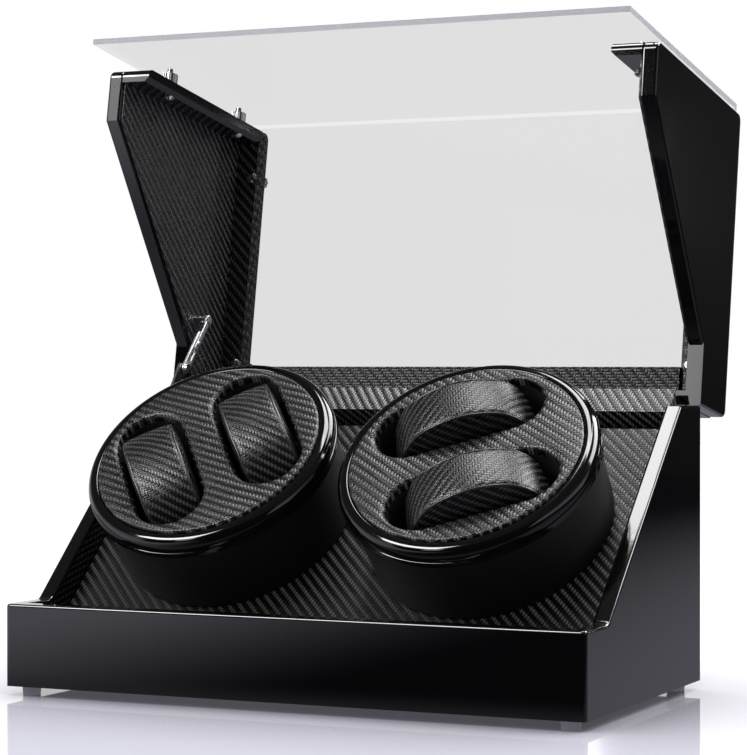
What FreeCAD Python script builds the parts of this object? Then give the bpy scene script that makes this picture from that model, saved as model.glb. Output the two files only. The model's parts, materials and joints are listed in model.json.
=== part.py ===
import FreeCAD, Part
import math
import os
import re
import Sketcher

# Four-watch winder box: a lacquered base with a sloping leather deck, two turntables that
# carry two watch cushions each, and a hinged lid with clear panes. Millimetres, +Z up,
# +X to the right of a person in front of the box, the front towards -Y. The origin is the
# bottom centre of the box with its lid open.

# Driving sizes, in millimetres and degrees
SIZES = {
    # carcase
    "box_width": 330,
    "box_depth": 180,
    "panel": 9,
    "bottom_board": 9,
    "front_height": 44,
    "front_flat": 32,
    "rear_flat": 33,
    "slope_angle": 42.6,
    "slope_foot_round": 6,
    "edge_round": 1.5,
    "corner_round": 2.5,
    "foot_height": 5,
    "foot_radius": 5.2,
    "foot_taper": 0.5,
    "foot_inset": 11,
    "foot_inset_y": 9,
    # sloping deck and the strip above it
    "deck_drop": 15,
    "deck_board": 9,
    "side_play": 0.4,
    "deck_slot": 8,
    "strip_rise": 5.4,
    "strip_run": 13.17,
    "strip_depth": 12,
    # turntables
    "drum_room": 10.2,
    "drum_taper": 1.5,
    "drum_gap": 1.2,
    "drum_height": 52,
    "shell_wall": 2.5,
    "shell_floor": 4,
    "hub_radius": 7.2,
    "hub_height": 20,
    "hub_roof": 4,
    "thrust_gap": 0.3,
    "rim_width": 7,
    "rim_reach": 2.6,
    "rim_height": 10,
    "rim_rise": 2.8,
    "rim_crown": 4.6,
    "rim_step": 1.6,
    "rim_step_rise": 0.8,
    "rim_drop": 2.5,
    "rim_round": 5,
    "face_board": 5,
    "face_rise": 4,
    "face_edge": 1.4,
    "face_play": 0.3,
    "face_margin": 5.2,
    "tray_plate": 2.5,
    "tray_wall": 2,
    "pocket_length": 92,
    "pocket_width": 37.4,
    "pocket_offset": 28.4,
    "pocket_lip": 2,
    "left_turn": 34.8,
    "right_turn": 113.7,
    # watch cushions
    "cushion_length": 80,
    "cushion_width": 32,
    "cushion_height": 62.5,
    "cushion_seat": 0.3,
    "cushion_draw": 3,
    "cushion_end_draw": 1,
    # turntable drive
    "shaft_radius": 4,
    "shaft_chamfer": 1.2,
    "running_fit": 0.05,
    "bush_radius": 8,
    "bush_flange": 13,
    "bush_flange_depth": 2,
    "gear_play": 0.4,
    "gear_module": 1,
    "gear_teeth": 60,
    "pinion_teeth": 15,
    "gear_width": 7,
    "pinion_width": 8,
    "pinion_shaft": 1.5,
    "bracket_plate": 2,
    "bracket_drop": 28,
    "bracket_half": 40,
    "bracket_margin": 20,
    "post_radius": 4,
    "post_inset": 6,
    "motor_boss": 6,
    "motor_boss_height": 2,
    "gearhead_radius": 18,
    "gearhead_length": 18,
    "motor_radius": 13,
    "motor_length": 22,
    "motor_shaft_depth": 10,
    # rear controls
    "control_inset": 70,
    "control_z": 62,
    "knob_pitch": 34,
    "knob_radius": 8,
    "knob_length": 11,
    "knob_grip": 1,
    "knob_gap": 0.6,
    "knob_shaft": 3,
    "knob_flat_depth": 1.2,
    "switch_size": 16,
    "switch_depth": 9,
    "circuit_board": 1.6,
    "circuit_margin": 10,
    "inlet_radius": 4,
    "inlet_flange": 5.5,
    "inlet_flange_depth": 1.5,
    "inlet_bore": 2.8,
    "inlet_bore_depth": 9.5,
    "inlet_pin": 1,
    # lid
    "lid_gap": 0.6,
    "lid_open": 100,
    "lid_setback": 4.5,
    "lid_height": 47,
    "lid_back": 8,
    "lid_corner_round": 4.5,
    "chin_gap": 3,
    "chin_round": 4.5,
    "lining": 1,
    "lining_inset": 2,
    "flange_width": 17,
    "flange_board": 7.5,
    "flange_bevel": 2.5,
    "rail_width": 20,
    "pane": 3.2,
    "pane_side": 6,
    "pane_standoff": 6,
    "pane_overhang": 30,
    "pane_back": 8,
    "front_screw_low": 33,
    "front_screw_high": 119,
    "top_screw_front": 29,
    "top_screw_back": 29,
    "screw_inset": 5.5,
    "screw_shank": 1.5,
    "screw_play": 0.1,
    "screw_head": 3.5,
    "screw_head_height": 2,
    "spacer_radius": 4.7,
    # lid hinges
    "hinge_spacing": 200,
    "hinge_length": 40,
    "knuckle_end": 11,
    "knuckle_gap": 0.3,
    "knuckle_radius": 3,
    "knuckle_relief": 0.4,
    "hinge_pin": 1.5,
    "leaf": 1.2,
    "leaf_width": 7,
    # lid stays
    "stay_inset": 9,
    "stay_bar": 1.6,
    "stay_gap": 0.3,
    "stay_bar_half": 3.2,
    "stay_pivot_out": 24,
    "stay_stud_out": 50,
    "stay_stud_angle": 75,
    "stay_rivet": 1.5,
    "stay_rivet_head": 2.6,
    "stay_rivet_height": 1,
    "stay_plate": 1.6,
    "stay_foot_length": 14,
    "stay_foot_height": 8,
    "stay_foot_low": 2,
    "stay_foot_back": 46,
}

# Sizes worked out from the driving ones
DERIVED = {
    "half_width": "=box_width / 2",
    "inner_half": "=half_width - panel",
    "slope_run": "=box_depth - front_flat - rear_flat",
    "rear_height": "=front_height + slope_run * tan(slope_angle)",
    "floor_z": "=foot_height + bottom_board",
    "deck_y": "=front_flat + slope_run / 2 + deck_drop * sin(slope_angle)",
    "deck_z": "=foot_height + (front_height + rear_height) / 2 - deck_drop * cos(slope_angle)",
    "deck_toe": "=(floor_z - deck_z) / sin(slope_angle)",
    "deck_toe_back": "=deck_toe + deck_board / tan(slope_angle)",
    "strip_back_y": "=box_depth - panel",
    "strip_y": "=strip_back_y - strip_run",
    "strip_along": "=(strip_y - deck_y + strip_rise * sin(slope_angle)) / cos(slope_angle)",
    "deck_reach": "=strip_along - deck_slot",
    "strip_z": "=deck_z + strip_along * sin(slope_angle) + strip_rise * cos(slope_angle)",
    "strip_top_z": "=strip_z + (strip_back_y - strip_y) * tan(slope_angle)",
    "strip_under_y": "=strip_y + strip_depth * sin(slope_angle)",
    "strip_under_z": "=strip_z - strip_depth * cos(slope_angle)",
    "pocket_reach": "=sqrt(pocket_offset^2 + ((pocket_length - pocket_width) / 2)^2) + pocket_width / 2",
    "face_radius": "=pocket_reach + face_margin",
    "rim_radius": "=face_radius + face_play + rim_width",
    "drum_radius": "=rim_radius - rim_reach",
    "drum_waist": "=drum_radius - drum_taper",
    "drum_x": "=rim_radius + drum_room / 2",
    "rim_low": "=drum_height - rim_height",
    "rim_top": "=drum_height + rim_rise",
    "face_top": "=drum_height + face_rise",
    "face_low": "=face_top - face_board",
    "tray_low": "=face_low - tray_plate",
    "shell_top": "=drum_gap + shell_floor",
    "well_floor": "=shell_top + tray_wall",
    "gear_top": "=0 - deck_board - bush_flange_depth - gear_play",
    "gear_low": "=gear_top - gear_width",
    "gear_centres": "=gear_module * (gear_teeth + pinion_teeth) / 2",
    "plate_top": "=0 - bracket_drop",
    "plate_low": "=plate_top - bracket_plate",
    "control_x": "=half_width - control_inset",
    "hinge_y": "=box_depth",
    "hinge_z": "=foot_height + rear_height + lid_gap / 2",
    "base_top": "=foot_height + rear_height",
    # lid sizes are counted from the hinge line with the lid shut
    "lid_under": "=lid_gap / 2",
    "lid_top": "=lid_under + lid_height",
    "lid_front": "=lid_setback - box_depth",
    "lid_chin": "=front_height - lid_gap / 2 + chin_gap - rear_height",
    "lid_slope_back": "=0 - rear_flat - lid_gap * tan(slope_angle / 2)",
    "lid_slope_front": "=lid_slope_back - (lid_under - lid_chin) / tan(slope_angle)",
    "front_pane_in": "=lid_front - pane_standoff",
    "front_pane_out": "=front_pane_in - pane",
    "top_pane_in": "=lid_top + pane_standoff",
    "top_pane_out": "=top_pane_in + pane",
    "pane_low": "=lid_chin - pane_overhang",
    "pane_width": "=box_width - 2 * pane_side",
    "top_screw_rear": "=0 - lid_front - top_screw_back",
    "flange_end": "=inner_half - flange_width",
    "screw_x": "=flange_end + screw_inset",
    "stay_x": "=inner_half - stay_inset",
    "stay_foot_y": "=box_depth - stay_foot_back",
    "stay_y": "=hinge_y + stay_pivot_out * cos(stay_stud_angle + lid_open / 2)",
    "stay_z": "=hinge_z + stay_pivot_out * sin(stay_stud_angle + lid_open / 2)",
    "stud_y": "=hinge_y + stay_stud_out * cos(stay_stud_angle)",
    "stud_z": "=hinge_z + stay_stud_out * sin(stay_stud_angle)",
    "stay_length": "=sqrt((stud_y - stay_y)^2 + (stud_z - stay_z)^2)",
    "stay_lean": "=atan2(stud_z - stay_z; stud_y - stay_y)",
    "lid_back_reach": "=top_pane_out * sin(lid_open) + front_pane_out * cos(lid_open)",
    "origin_y": "=(box_depth + lid_back_reach) / 2",
}

doc = FreeCAD.newDocument("watch_winder")
sheet = doc.addObject("Spreadsheet::Sheet", "sizes")
nodes = []


# Sheet and expressions

def fill_sheet():
    rows = {name: str(value) for name, value in SIZES.items()}
    rows.update(DERIVED)
    for row, (name, text) in enumerate(rows.items(), 1):
        sheet.set("A%d" % row, name)
        sheet.set("B%d" % row, text)
        sheet.setAlias("B%d" % row, name)
    doc.recompute()


def bound(text):
    def with_sheet(word):
        known = word.group() in SIZES or word.group() in DERIVED
        return "sizes." + word.group() if known else word.group()
    return re.sub(r"[a-z_][a-z_0-9]*", with_sheet, text)


def value(text):
    return float(sheet.evalExpression(bound(text)))


def place(piece, x, y, z, turns=()):
    spin = ["create(<<rotation>>; create(<<vector>>; %s); %s)" % turn for turn in turns]
    spin = " * ".join(spin) or "create(<<rotation>>; create(<<vector>>; 1; 0; 0); 0)"
    spot = "create(<<vector>>; %s; (%s) - origin_y; %s)" % (x, y, z)
    piece.setExpression("Placement", bound("create(<<placement>>; %s; %s)" % (spot, spin)))


def on_deck(piece, x, turn="0"):
    place(piece, x, "deck_y", "deck_z", (("1; 0; 0", "slope_angle"), ("0; 0; 1", turn)))


def on_lid(piece, x="0"):
    place(piece, x, "hinge_y", "hinge_z", (("1; 0; 0", "0 - lid_open"),))


def node(label, piece):
    piece.Label = label
    nodes.append(piece)
    return piece


# Sketches and features

def new_body(label):
    return node(label, doc.addObject("PartDesign::Body", label))


def new_sketch(body, role):
    sketch = body.newObject("Sketcher::SketchObject", "outline")
    plane = [feature for feature in body.Origin.OriginFeatures if feature.Role == role][0]
    sketch.AttachmentSupport = [(plane, "")]
    sketch.MapMode = "FlatFace"
    return sketch


def pin_point(sketch, curve, end, spot):
    for kind, text in zip(("DistanceX", "DistanceY"), spot):
        size = Sketcher.Constraint(kind, -1, 1, curve, end, value(text))
        index = sketch.addConstraint(size)
        sketch.setExpression("Constraints[%d]" % index, bound(text))


def polygon(sketch, corners):
    first = sketch.GeometryCount
    spots = [FreeCAD.Vector(value(across), value(up), 0) for across, up in corners]
    count = len(spots)
    for index in range(count):
        sketch.addGeometry(Part.LineSegment(spots[index], spots[(index + 1) % count]), False)
    for index in range(count):
        after = first + (index + 1) % count
        sketch.addConstraint(Sketcher.Constraint("Coincident", first + index, 2, after, 1))
    for index, corner in enumerate(corners):
        pin_point(sketch, first + index, 1, corner)


def rectangle(sketch, low, high):
    polygon(sketch, (low, (high[0], low[1]), high, (low[0], high[1])))


def circle(sketch, centre, radius):
    spot = FreeCAD.Vector(value(centre[0]), value(centre[1]), 0)
    ring = sketch.addGeometry(Part.Circle(spot, FreeCAD.Vector(0, 0, 1), value(radius)), False)
    pin_point(sketch, ring, 3, centre)
    size = sketch.addConstraint(Sketcher.Constraint("Radius", ring, value(radius)))
    sketch.setExpression("Constraints[%d]" % size, bound(radius))


def stadium(sketch, centre_x, length, width):
    # a straight-sided slot with round ends, its long axis along the sketch's Y
    reach = "(%s - %s) / 2" % (length, width)
    radius = "(%s) / 2" % width
    arcs = []
    for centre_y, start in ((reach, 0), ("0 - " + reach, math.pi)):
        spot = FreeCAD.Vector(value(centre_x), value(centre_y), 0)
        ring = Part.Circle(spot, FreeCAD.Vector(0, 0, 1), value(radius))
        arc = sketch.addGeometry(Part.ArcOfCircle(ring, start, start + math.pi), False)
        pin_point(sketch, arc, 3, (centre_x, centre_y))
        arcs.append(arc)
    close_slot(sketch, arcs, radius)


def close_slot(sketch, arcs, radius):
    # straight sides between two end arcs
    for start, end in (arcs, arcs[::-1]):
        here = sketch.Geometry[start].EndPoint
        there = sketch.Geometry[end].StartPoint
        side = sketch.addGeometry(Part.LineSegment(here, there), False)
        sketch.addConstraint(Sketcher.Constraint("Tangent", side, 1, start, 2))
        sketch.addConstraint(Sketcher.Constraint("Tangent", side, 2, end, 1))
    size = sketch.addConstraint(Sketcher.Constraint("Radius", arcs[0], value(radius)))
    sketch.setExpression("Constraints[%d]" % size, bound(radius))


def pad(body, sketch, length, back=False, middle=False):
    feature = body.newObject("PartDesign::Pad", "pad")
    feature.Profile = sketch
    feature.setExpression("Length", bound(length))
    feature.Reversed = back
    feature.Midplane = middle
    doc.recompute()
    return feature


def pocket(body, sketch, depth=None, back=False):
    before = body.Shape.Volume
    feature = body.newObject("PartDesign::Pocket", "pocket")
    feature.Profile = sketch
    if depth is None:
        feature.Type = "ThroughAll"
        feature.Midplane = True
    else:
        feature.setExpression("Length", bound(depth))
        feature.Reversed = back
    doc.recompute()
    if body.Shape.Volume >= before:
        raise RuntimeError(body.Label + ": a pocket cuts nothing")
    return feature


def revolve(body, corners):
    sketch = new_sketch(body, "XZ_Plane")
    polygon(sketch, corners)
    feature = body.newObject("PartDesign::Revolution", "turned")
    feature.Profile = sketch
    feature.ReferenceAxis = (sketch, ["V_Axis"])
    feature.Angle = 360
    doc.recompute()
    return feature


def move_sketch(sketch, depth):
    sketch.setExpression("AttachmentOffset.Base.z", bound(depth))


def round_edges(body, radius, chosen, kind="PartDesign::Fillet"):
    base = body.Tip
    names = ["Edge%d" % number for number, edge in enumerate(base.Shape.Edges, 1) if chosen(edge)]
    if not names:
        raise RuntimeError(body.Label + ": no edge to round")
    feature = body.newObject(kind, "rounded")
    feature.Base = (base, names)
    feature.setExpression("Radius" if kind.endswith("Fillet") else "Size", bound(radius))
    doc.recompute()
    return feature


def lies_at(edge, **planes):
    # whether the whole edge lies in the given planes, such as x=10
    box = edge.BoundBox
    spans = {"x": (box.XMin, box.XMax), "y": (box.YMin, box.YMax), "z": (box.ZMin, box.ZMax)}
    return all(abs(end - at) < 1e-4 for axis, at in planes.items() for end in spans[axis])


# Part primitives and booleans

def block(x, y, z):
    # a box between two expressions on each axis
    piece = doc.addObject("Part::Box", "block")
    for name, (low, high) in zip(("Length", "Width", "Height"), (x, y, z)):
        piece.setExpression(name, bound("(%s) - (%s)" % (high, low)))
    for axis, (low, high) in zip("xyz", (x, y, z)):
        piece.setExpression("Placement.Base." + axis, bound(low))
    return piece


def rod_x(radius, low, high, y="0", z="0"):
    # a cylinder along X
    piece = doc.addObject("Part::Cylinder", "rod")
    piece.setExpression("Radius", bound(radius))
    piece.setExpression("Height", bound("(%s) - (%s)" % (high, low)))
    piece.Placement = FreeCAD.Placement(FreeCAD.Vector(), FreeCAD.Rotation(FreeCAD.Vector(0, 1, 0), 90))
    for axis, text in zip("xyz", (low, y, z)):
        piece.setExpression("Placement.Base." + axis, bound(text))
    return piece


def joined(pieces):
    piece = doc.addObject("Part::MultiFuse", "joined")
    piece.Shapes = pieces
    return piece


def without(base, tool):
    piece = doc.addObject("Part::Cut", "cut")
    piece.Base = base
    piece.Tool = tool
    return piece


def group(label, pieces):
    piece = doc.addObject("Part::Compound", label)
    piece.Links = pieces
    return node(label, piece)


# Carcase

def base_bottom_board():
    body = new_body("base_bottom_board")
    sketch = new_sketch(body, "XY_Plane")
    rectangle(sketch, ("0 - inner_half", "panel"), ("inner_half", "box_depth - panel"))
    pad(body, sketch, "bottom_board")
    place(body, "0", "0", "foot_height")


def front_panel():
    body = new_body("front_panel")
    sketch = new_sketch(body, "YZ_Plane")
    rectangle(sketch, ("0", "0"), ("panel", "front_height"))
    pad(body, sketch, "box_width", middle=True)
    sides = (-value("half_width"), value("half_width"))
    top = value("front_height")
    round_edges(body, "corner_round", lambda edge: any(lies_at(edge, x=x, y=0) for x in sides))
    round_edges(body, "edge_round", lambda edge: lies_at(edge, z=top) and not lies_at(edge, y=value("panel")))
    place(body, "0", "0", "foot_height")


def side_panel(name, side):
    # outline in Y and Z, with the outer face at x = 0 and the thickness inwards
    body = new_body(name + "_side_panel")
    sketch = new_sketch(body, "YZ_Plane")
    polygon(sketch, (
        ("panel", "0"),
        ("box_depth", "0"),
        ("box_depth", "rear_height"),
        ("box_depth - rear_flat", "rear_height"),
        ("front_flat", "front_height"),
        ("panel", "front_height"),
    ))
    pad(body, sketch, "panel", back=side > 0)
    foot = {"y": value("front_flat"), "z": value("front_height")}
    round_edges(body, "slope_foot_round", lambda edge: lies_at(edge, **foot))
    low = value("front_height") - 1e-3

    def on_rim(edge):
        flat = lies_at(edge, x=0) or lies_at(edge, x=-side * value("panel"))
        return flat and edge.BoundBox.ZMin > low

    round_edges(body, "edge_round", on_rim)
    place(body, "%d * half_width" % side, "0", "foot_height")


def back_panel():
    body = new_body("back_panel")
    sketch = new_sketch(body, "YZ_Plane")
    rectangle(sketch, ("0 - panel", "0"), ("0", "rear_height"))
    pad(body, sketch, "2 * inner_half", middle=True)
    holes = new_sketch(body, "XZ_Plane")
    for x in knob_places():
        circle(holes, (x, "control_z"), "knob_shaft + running_fit")
    circle(holes, ("control_x - knob_pitch", "control_z"), "inlet_radius")
    pocket(body, holes)
    # seats for the hinge leaves and their knuckles
    seats = new_sketch(body, "YZ_Plane")
    polygon(seats, (
        ("0 - leaf_width", "rear_height - leaf"),
        ("0 - knuckle_radius - knuckle_relief", "rear_height - leaf"),
        ("0 - knuckle_radius - knuckle_relief", "rear_height - knuckle_radius - knuckle_relief"),
        ("1", "rear_height - knuckle_radius - knuckle_relief"),
        ("1", "rear_height + 1"),
        ("0 - leaf_width", "rear_height + 1"),
    ))
    cut_hinge_seats(body, seats)
    place(body, "0", "box_depth", "foot_height")


def cut_hinge_seats(body, sketch):
    # one seat cut at each hinge, from the same outline
    for side in (-1, 1):
        here = sketch
        if side > 0:
            here = doc.copyObject(sketch, False)
            body.addObject(here)
        move_sketch(here, "%d * hinge_spacing / 2 - hinge_length / 2 - knuckle_gap" % side)
        doc.recompute()
        pocket(body, here, "hinge_length + 2 * knuckle_gap", back=True)


def rubber_feet():
    feet = []
    for x in ("foot_inset - half_width", "half_width - foot_inset"):
        for y in ("foot_inset_y", "box_depth - foot_inset_y"):
            foot = doc.addObject("Part::Cone", "foot")
            foot.setExpression("Radius1", bound("foot_radius - foot_taper"))
            foot.setExpression("Radius2", bound("foot_radius"))
            foot.setExpression("Height", bound("foot_height"))
            place(foot, x, y, "0")
            feet.append(foot)
    group("rubber_feet", feet)


def drum_deck():
    body = new_body("drum_deck")
    sketch = new_sketch(body, "YZ_Plane")
    polygon(sketch, (
        ("deck_toe", "0"),
        ("deck_reach", "0"),
        ("deck_reach", "0 - deck_board"),
        ("deck_toe_back", "0 - deck_board"),
    ))
    pad(body, sketch, "2 * (inner_half - side_play)", middle=True)
    holes = new_sketch(body, "XY_Plane")
    for side in (-1, 1):
        circle(holes, ("%d * drum_x" % side, "0"), "bush_radius")
    pocket(body, holes)
    on_deck(body, "0")


def rear_strip():
    body = new_body("rear_strip")
    sketch = new_sketch(body, "YZ_Plane")
    polygon(sketch, (
        ("strip_y", "strip_z"),
        ("strip_under_y", "strip_under_z"),
        ("strip_back_y", "strip_under_z"),
        ("strip_back_y", "strip_top_z"),
    ))
    # short of the side panels, so that the shut lid's linings pass its ends
    pad(body, sketch, "2 * (inner_half - lining - 2 * side_play)", middle=True)
    place(body, "0", "0", "0")


# Turntables, each built about the axis of its shaft with z = 0 on the deck

def drum_shell(name, x, turn):
    body = new_body(name + "_drum_shell")
    revolve(body, (
        ("shaft_radius", "thrust_gap"),
        ("hub_radius", "thrust_gap"),
        ("hub_radius", "drum_gap"),
        ("drum_waist", "drum_gap"),
        ("drum_radius", "rim_low"),
        ("drum_radius - shell_wall", "rim_low"),
        ("drum_waist - shell_wall", "shell_top"),
        ("hub_radius", "shell_top"),
        ("hub_radius", "shell_top + hub_height"),
        ("0", "shell_top + hub_height"),
        ("0", "shell_top + hub_height - hub_roof"),
        ("shaft_radius", "shell_top + hub_height - hub_roof"),
    ))
    on_deck(body, x, turn)


def drum_rim(name, x, turn):
    body = new_body(name + "_drum_rim")
    revolve(body, (
        ("rim_radius - rim_width", "rim_low"),
        ("rim_radius", "rim_low"),
        ("rim_radius", "drum_height - rim_drop"),
        ("rim_radius - rim_step", "drum_height + rim_step_rise"),
        ("rim_radius - rim_crown", "rim_top"),
        ("rim_radius - rim_width", "rim_top"),
    ))
    levels = [value(level) for level in ("drum_height - rim_drop", "drum_height + rim_step_rise", "rim_top")]
    inside = value("rim_radius - rim_width / 2 - rim_crown / 2")

    def on_crown(edge):
        return edge.BoundBox.XMax > inside and any(lies_at(edge, z=level) for level in levels)

    round_edges(body, "rim_round", on_crown)
    on_deck(body, x, turn)


def pocket_centres():
    return "pocket_offset", "0 - pocket_offset"


def drum_face(name, x, turn):
    body = new_body(name + "_drum_face")
    disc = new_sketch(body, "XY_Plane")
    circle(disc, ("0", "0"), "face_radius")
    move_sketch(disc, "face_low")
    pad(body, disc, "face_board")
    slots = new_sketch(body, "XY_Plane")
    for centre in pocket_centres():
        stadium(slots, centre, "pocket_length", "pocket_width")
    pocket(body, slots)
    top = value("face_top")
    whole = 1.9 * value("face_radius")

    def on_lip(edge):
        return lies_at(edge, z=top) and edge.BoundBox.DiagonalLength < whole

    round_edges(body, "pocket_lip", on_lip)
    round_edges(body, "face_edge", lambda edge: lies_at(edge, z=top) and edge.BoundBox.DiagonalLength > whole)
    on_deck(body, x, turn)


def pocket_tray(name, x, turn):
    body = new_body(name + "_pocket_tray")
    disc = new_sketch(body, "XY_Plane")
    circle(disc, ("0", "0"), "face_radius")
    move_sketch(disc, "tray_low")
    pad(body, disc, "tray_plate")
    walls = new_sketch(body, "XY_Plane")
    for centre in pocket_centres():
        stadium(walls, centre, "(pocket_length + 2 * tray_wall)", "(pocket_width + 2 * tray_wall)")
    move_sketch(walls, "shell_top")
    pad(body, walls, "tray_low + tray_plate / 2 - shell_top")
    wells = new_sketch(body, "XY_Plane")
    for centre in pocket_centres():
        stadium(wells, centre, "pocket_length", "pocket_width")
    move_sketch(wells, "well_floor")
    pocket(body, wells, "face_low - well_floor", back=True)
    on_deck(body, x, turn)


def cushion(label, x, turn, centre):
    # an arched pillow: its side outline is one flat foot, two ends and a crown, lofted across
    # the pillow's width through outlines that draw in towards both sides
    length = value("cushion_length")
    height = value("cushion_height")
    half = value("cushion_width") / 2
    draw = value("cushion_draw")
    end_draw = value("cushion_end_draw")
    foot = 0.30 * length
    shoulder = 0.36 * length
    middle = value(centre)
    seat = value("well_floor + cushion_seat")

    def outline(across, inset):
        span = (length - 2 * end_draw * inset) / length
        rise = (height - 2 * inset) / height

        def spot(along, up):
            return FreeCAD.Vector(middle + across, along * span, seat + inset + up * rise)

        right = Part.Arc(spot(foot, 0), spot(length / 2, 0.44 * height), spot(shoulder, 0.86 * height))
        crown = Part.Arc(spot(shoulder, 0.86 * height), spot(0, height), spot(-shoulder, 0.86 * height))
        left = Part.Arc(spot(-shoulder, 0.86 * height), spot(-length / 2, 0.44 * height), spot(-foot, 0))
        base = Part.LineSegment(spot(-foot, 0), spot(foot, 0))
        return Part.Wire([curve.toShape() for curve in (right, crown, left, base)])

    stations = ((-1, 1), (-0.82, 0.36), (-0.42, 0.06), (0, 0), (0.42, 0.06), (0.82, 0.36), (1, 1))
    wires = [outline(half * across, draw * inset) for across, inset in stations]
    piece = node(label, doc.addObject("Part::Feature", label))
    piece.Shape = Part.makeLoft(wires, True, False)
    on_deck(piece, x, turn)


# Turntable drive under the deck

def shaft_bush(name, x):
    body = new_body(name + "_shaft_bush")
    revolve(body, (
        ("shaft_radius + running_fit", "0"),
        ("bush_radius", "0"),
        ("bush_radius", "0 - deck_board"),
        ("bush_flange", "0 - deck_board"),
        ("bush_flange", "0 - deck_board - bush_flange_depth"),
        ("shaft_radius + running_fit", "0 - deck_board - bush_flange_depth"),
    ))
    on_deck(body, x)


def drum_shaft(name, x):
    body = new_body(name + "_drum_shaft")
    sketch = new_sketch(body, "XY_Plane")
    circle(sketch, ("0", "0"), "shaft_radius")
    move_sketch(sketch, "plate_low - bracket_plate")
    pad(body, sketch, "shell_top + hub_height - hub_roof - plate_low + bracket_plate")
    low = value("plate_low - bracket_plate")
    round_edges(body, "shaft_chamfer", lambda edge: lies_at(edge, z=low), "PartDesign::Chamfer")
    on_deck(body, x)


def toothed_wheel(teeth, first, centre, low, width):
    # straight-flanked teeth, thinner than half the pitch so that the pair runs with backlash
    module = value("gear_module")
    pitch = module * teeth / 2
    tip, root = pitch + 0.9 * module, pitch - 1.25 * module
    step = 2 * math.pi / teeth
    tooth = ((root, 0.30), (tip, 0.09), (tip, -0.09), (root, -0.30))
    spots = []
    for number in range(teeth):
        for radius, share in tooth:
            turn = first - (number - share) * step
            spots.append(FreeCAD.Vector(centre + radius * math.cos(turn), radius * math.sin(turn), low))
    face = Part.Face(Part.makePolygon(spots + spots[:1]))
    return face.extrude(FreeCAD.Vector(0, 0, width))


def drum_gear(name, x):
    label = name + "_drum_gear"
    low = value("gear_low")
    width = value("gear_width")
    wheel = toothed_wheel(int(value("gear_teeth")), 0, 0, low, width)
    bore = Part.makeCylinder(value("shaft_radius"), width, FreeCAD.Vector(0, 0, low))
    piece = node(label, doc.addObject("Part::Feature", label))
    piece.Shape = wheel.cut(bore)
    on_deck(piece, x)


def drive_pinion(name, x, side):
    # the pinion lies towards the middle of the box and carries the motor's output shaft
    label = name + "_drive_pinion"
    teeth = int(value("pinion_teeth"))
    first = 0 if side < 0 else math.pi / teeth
    centre = -side * value("gear_centres")
    low = value("gear_low - (pinion_width - gear_width) / 2")
    end = value("plate_low - motor_shaft_depth")
    wheel = toothed_wheel(teeth, first, centre, low, value("pinion_width"))
    shaft = Part.makeCylinder(value("pinion_shaft"), low - end, FreeCAD.Vector(centre, 0, end))
    piece = node(label, doc.addObject("Part::Feature", label))
    piece.Shape = wheel.fuse(shaft).removeSplitter()
    on_deck(piece, x)


def motor_bracket(name, x, side):
    body = new_body(name + "_motor_bracket")
    inner = "%d * (gear_centres + bracket_margin)" % -side
    outer = "%d * bracket_half" % side
    plate = new_sketch(body, "XY_Plane")
    rectangle(plate, (inner, "0 - bracket_half"), (outer, "bracket_half"))
    move_sketch(plate, "plate_low")
    pad(body, plate, "bracket_plate")
    posts = new_sketch(body, "XY_Plane")
    for across in (inner + " + %d * post_inset" % side, outer + " - %d * post_inset" % side):
        for along in ("post_inset - bracket_half", "bracket_half - post_inset"):
            circle(posts, (across, along), "post_radius")
    move_sketch(posts, "plate_top")
    pad(body, posts, "bracket_drop - deck_board")
    holes = new_sketch(body, "XY_Plane")
    circle(holes, ("0", "0"), "shaft_radius + running_fit")
    circle(holes, ("%d * gear_centres" % -side, "0"), "pinion_shaft + 10 * running_fit")
    pocket(body, holes)
    on_deck(body, x)


def gear_motor(name, x, side):
    body = new_body(name + "_gear_motor")
    shaft = "pinion_shaft + running_fit"
    end = "plate_low - gearhead_length - motor_length"
    revolve(body, (
        (shaft, "plate_low"),
        ("gearhead_radius", "plate_low"),
        ("gearhead_radius", "plate_low - gearhead_length"),
        ("motor_radius", "plate_low - gearhead_length"),
        ("motor_radius", end),
        ("motor_boss", end),
        ("motor_boss", end + " - motor_boss_height"),
        ("0", end + " - motor_boss_height"),
        ("0", "plate_low - motor_shaft_depth - thrust_gap"),
        (shaft, "plate_low - motor_shaft_depth - thrust_gap"),
    ))
    reach = "%d * gear_centres" % -side
    on_deck(body, "%s + %s" % (x, reach))


# Controls on the back

def knob_places():
    return "control_x", "control_x + knob_pitch"


def mode_knob(name, x):
    # turned about its shaft, which runs forward into the switch; z counts from the back face outwards
    body = new_body(name + "_mode_knob")
    revolve(body, (
        ("0", "0 - panel - switch_depth"),
        ("knob_shaft", "0 - panel - switch_depth"),
        ("knob_shaft", "knob_gap"),
        ("knob_radius", "knob_gap"),
        ("knob_radius - knob_grip", "knob_gap + knob_length"),
        ("0", "knob_gap + knob_length"),
    ))
    grip = new_sketch(body, "XY_Plane")
    circle(grip, ("knob_radius", "0"), "knob_grip")
    move_sketch(grip, "knob_gap")
    cut = pocket(body, grip, "knob_length", back=True)
    pattern = body.newObject("PartDesign::PolarPattern", "grips")
    pattern.Originals = [cut]
    pattern.Axis = ([axis for axis in body.Origin.OriginFeatures if axis.Role == "Z_Axis"][0], [""])
    pattern.Angle = 360
    pattern.Occurrences = 12
    body.Tip = pattern
    place(body, x, "box_depth", "foot_height + control_z", (("1; 0; 0", "0 - 90"),))


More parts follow.
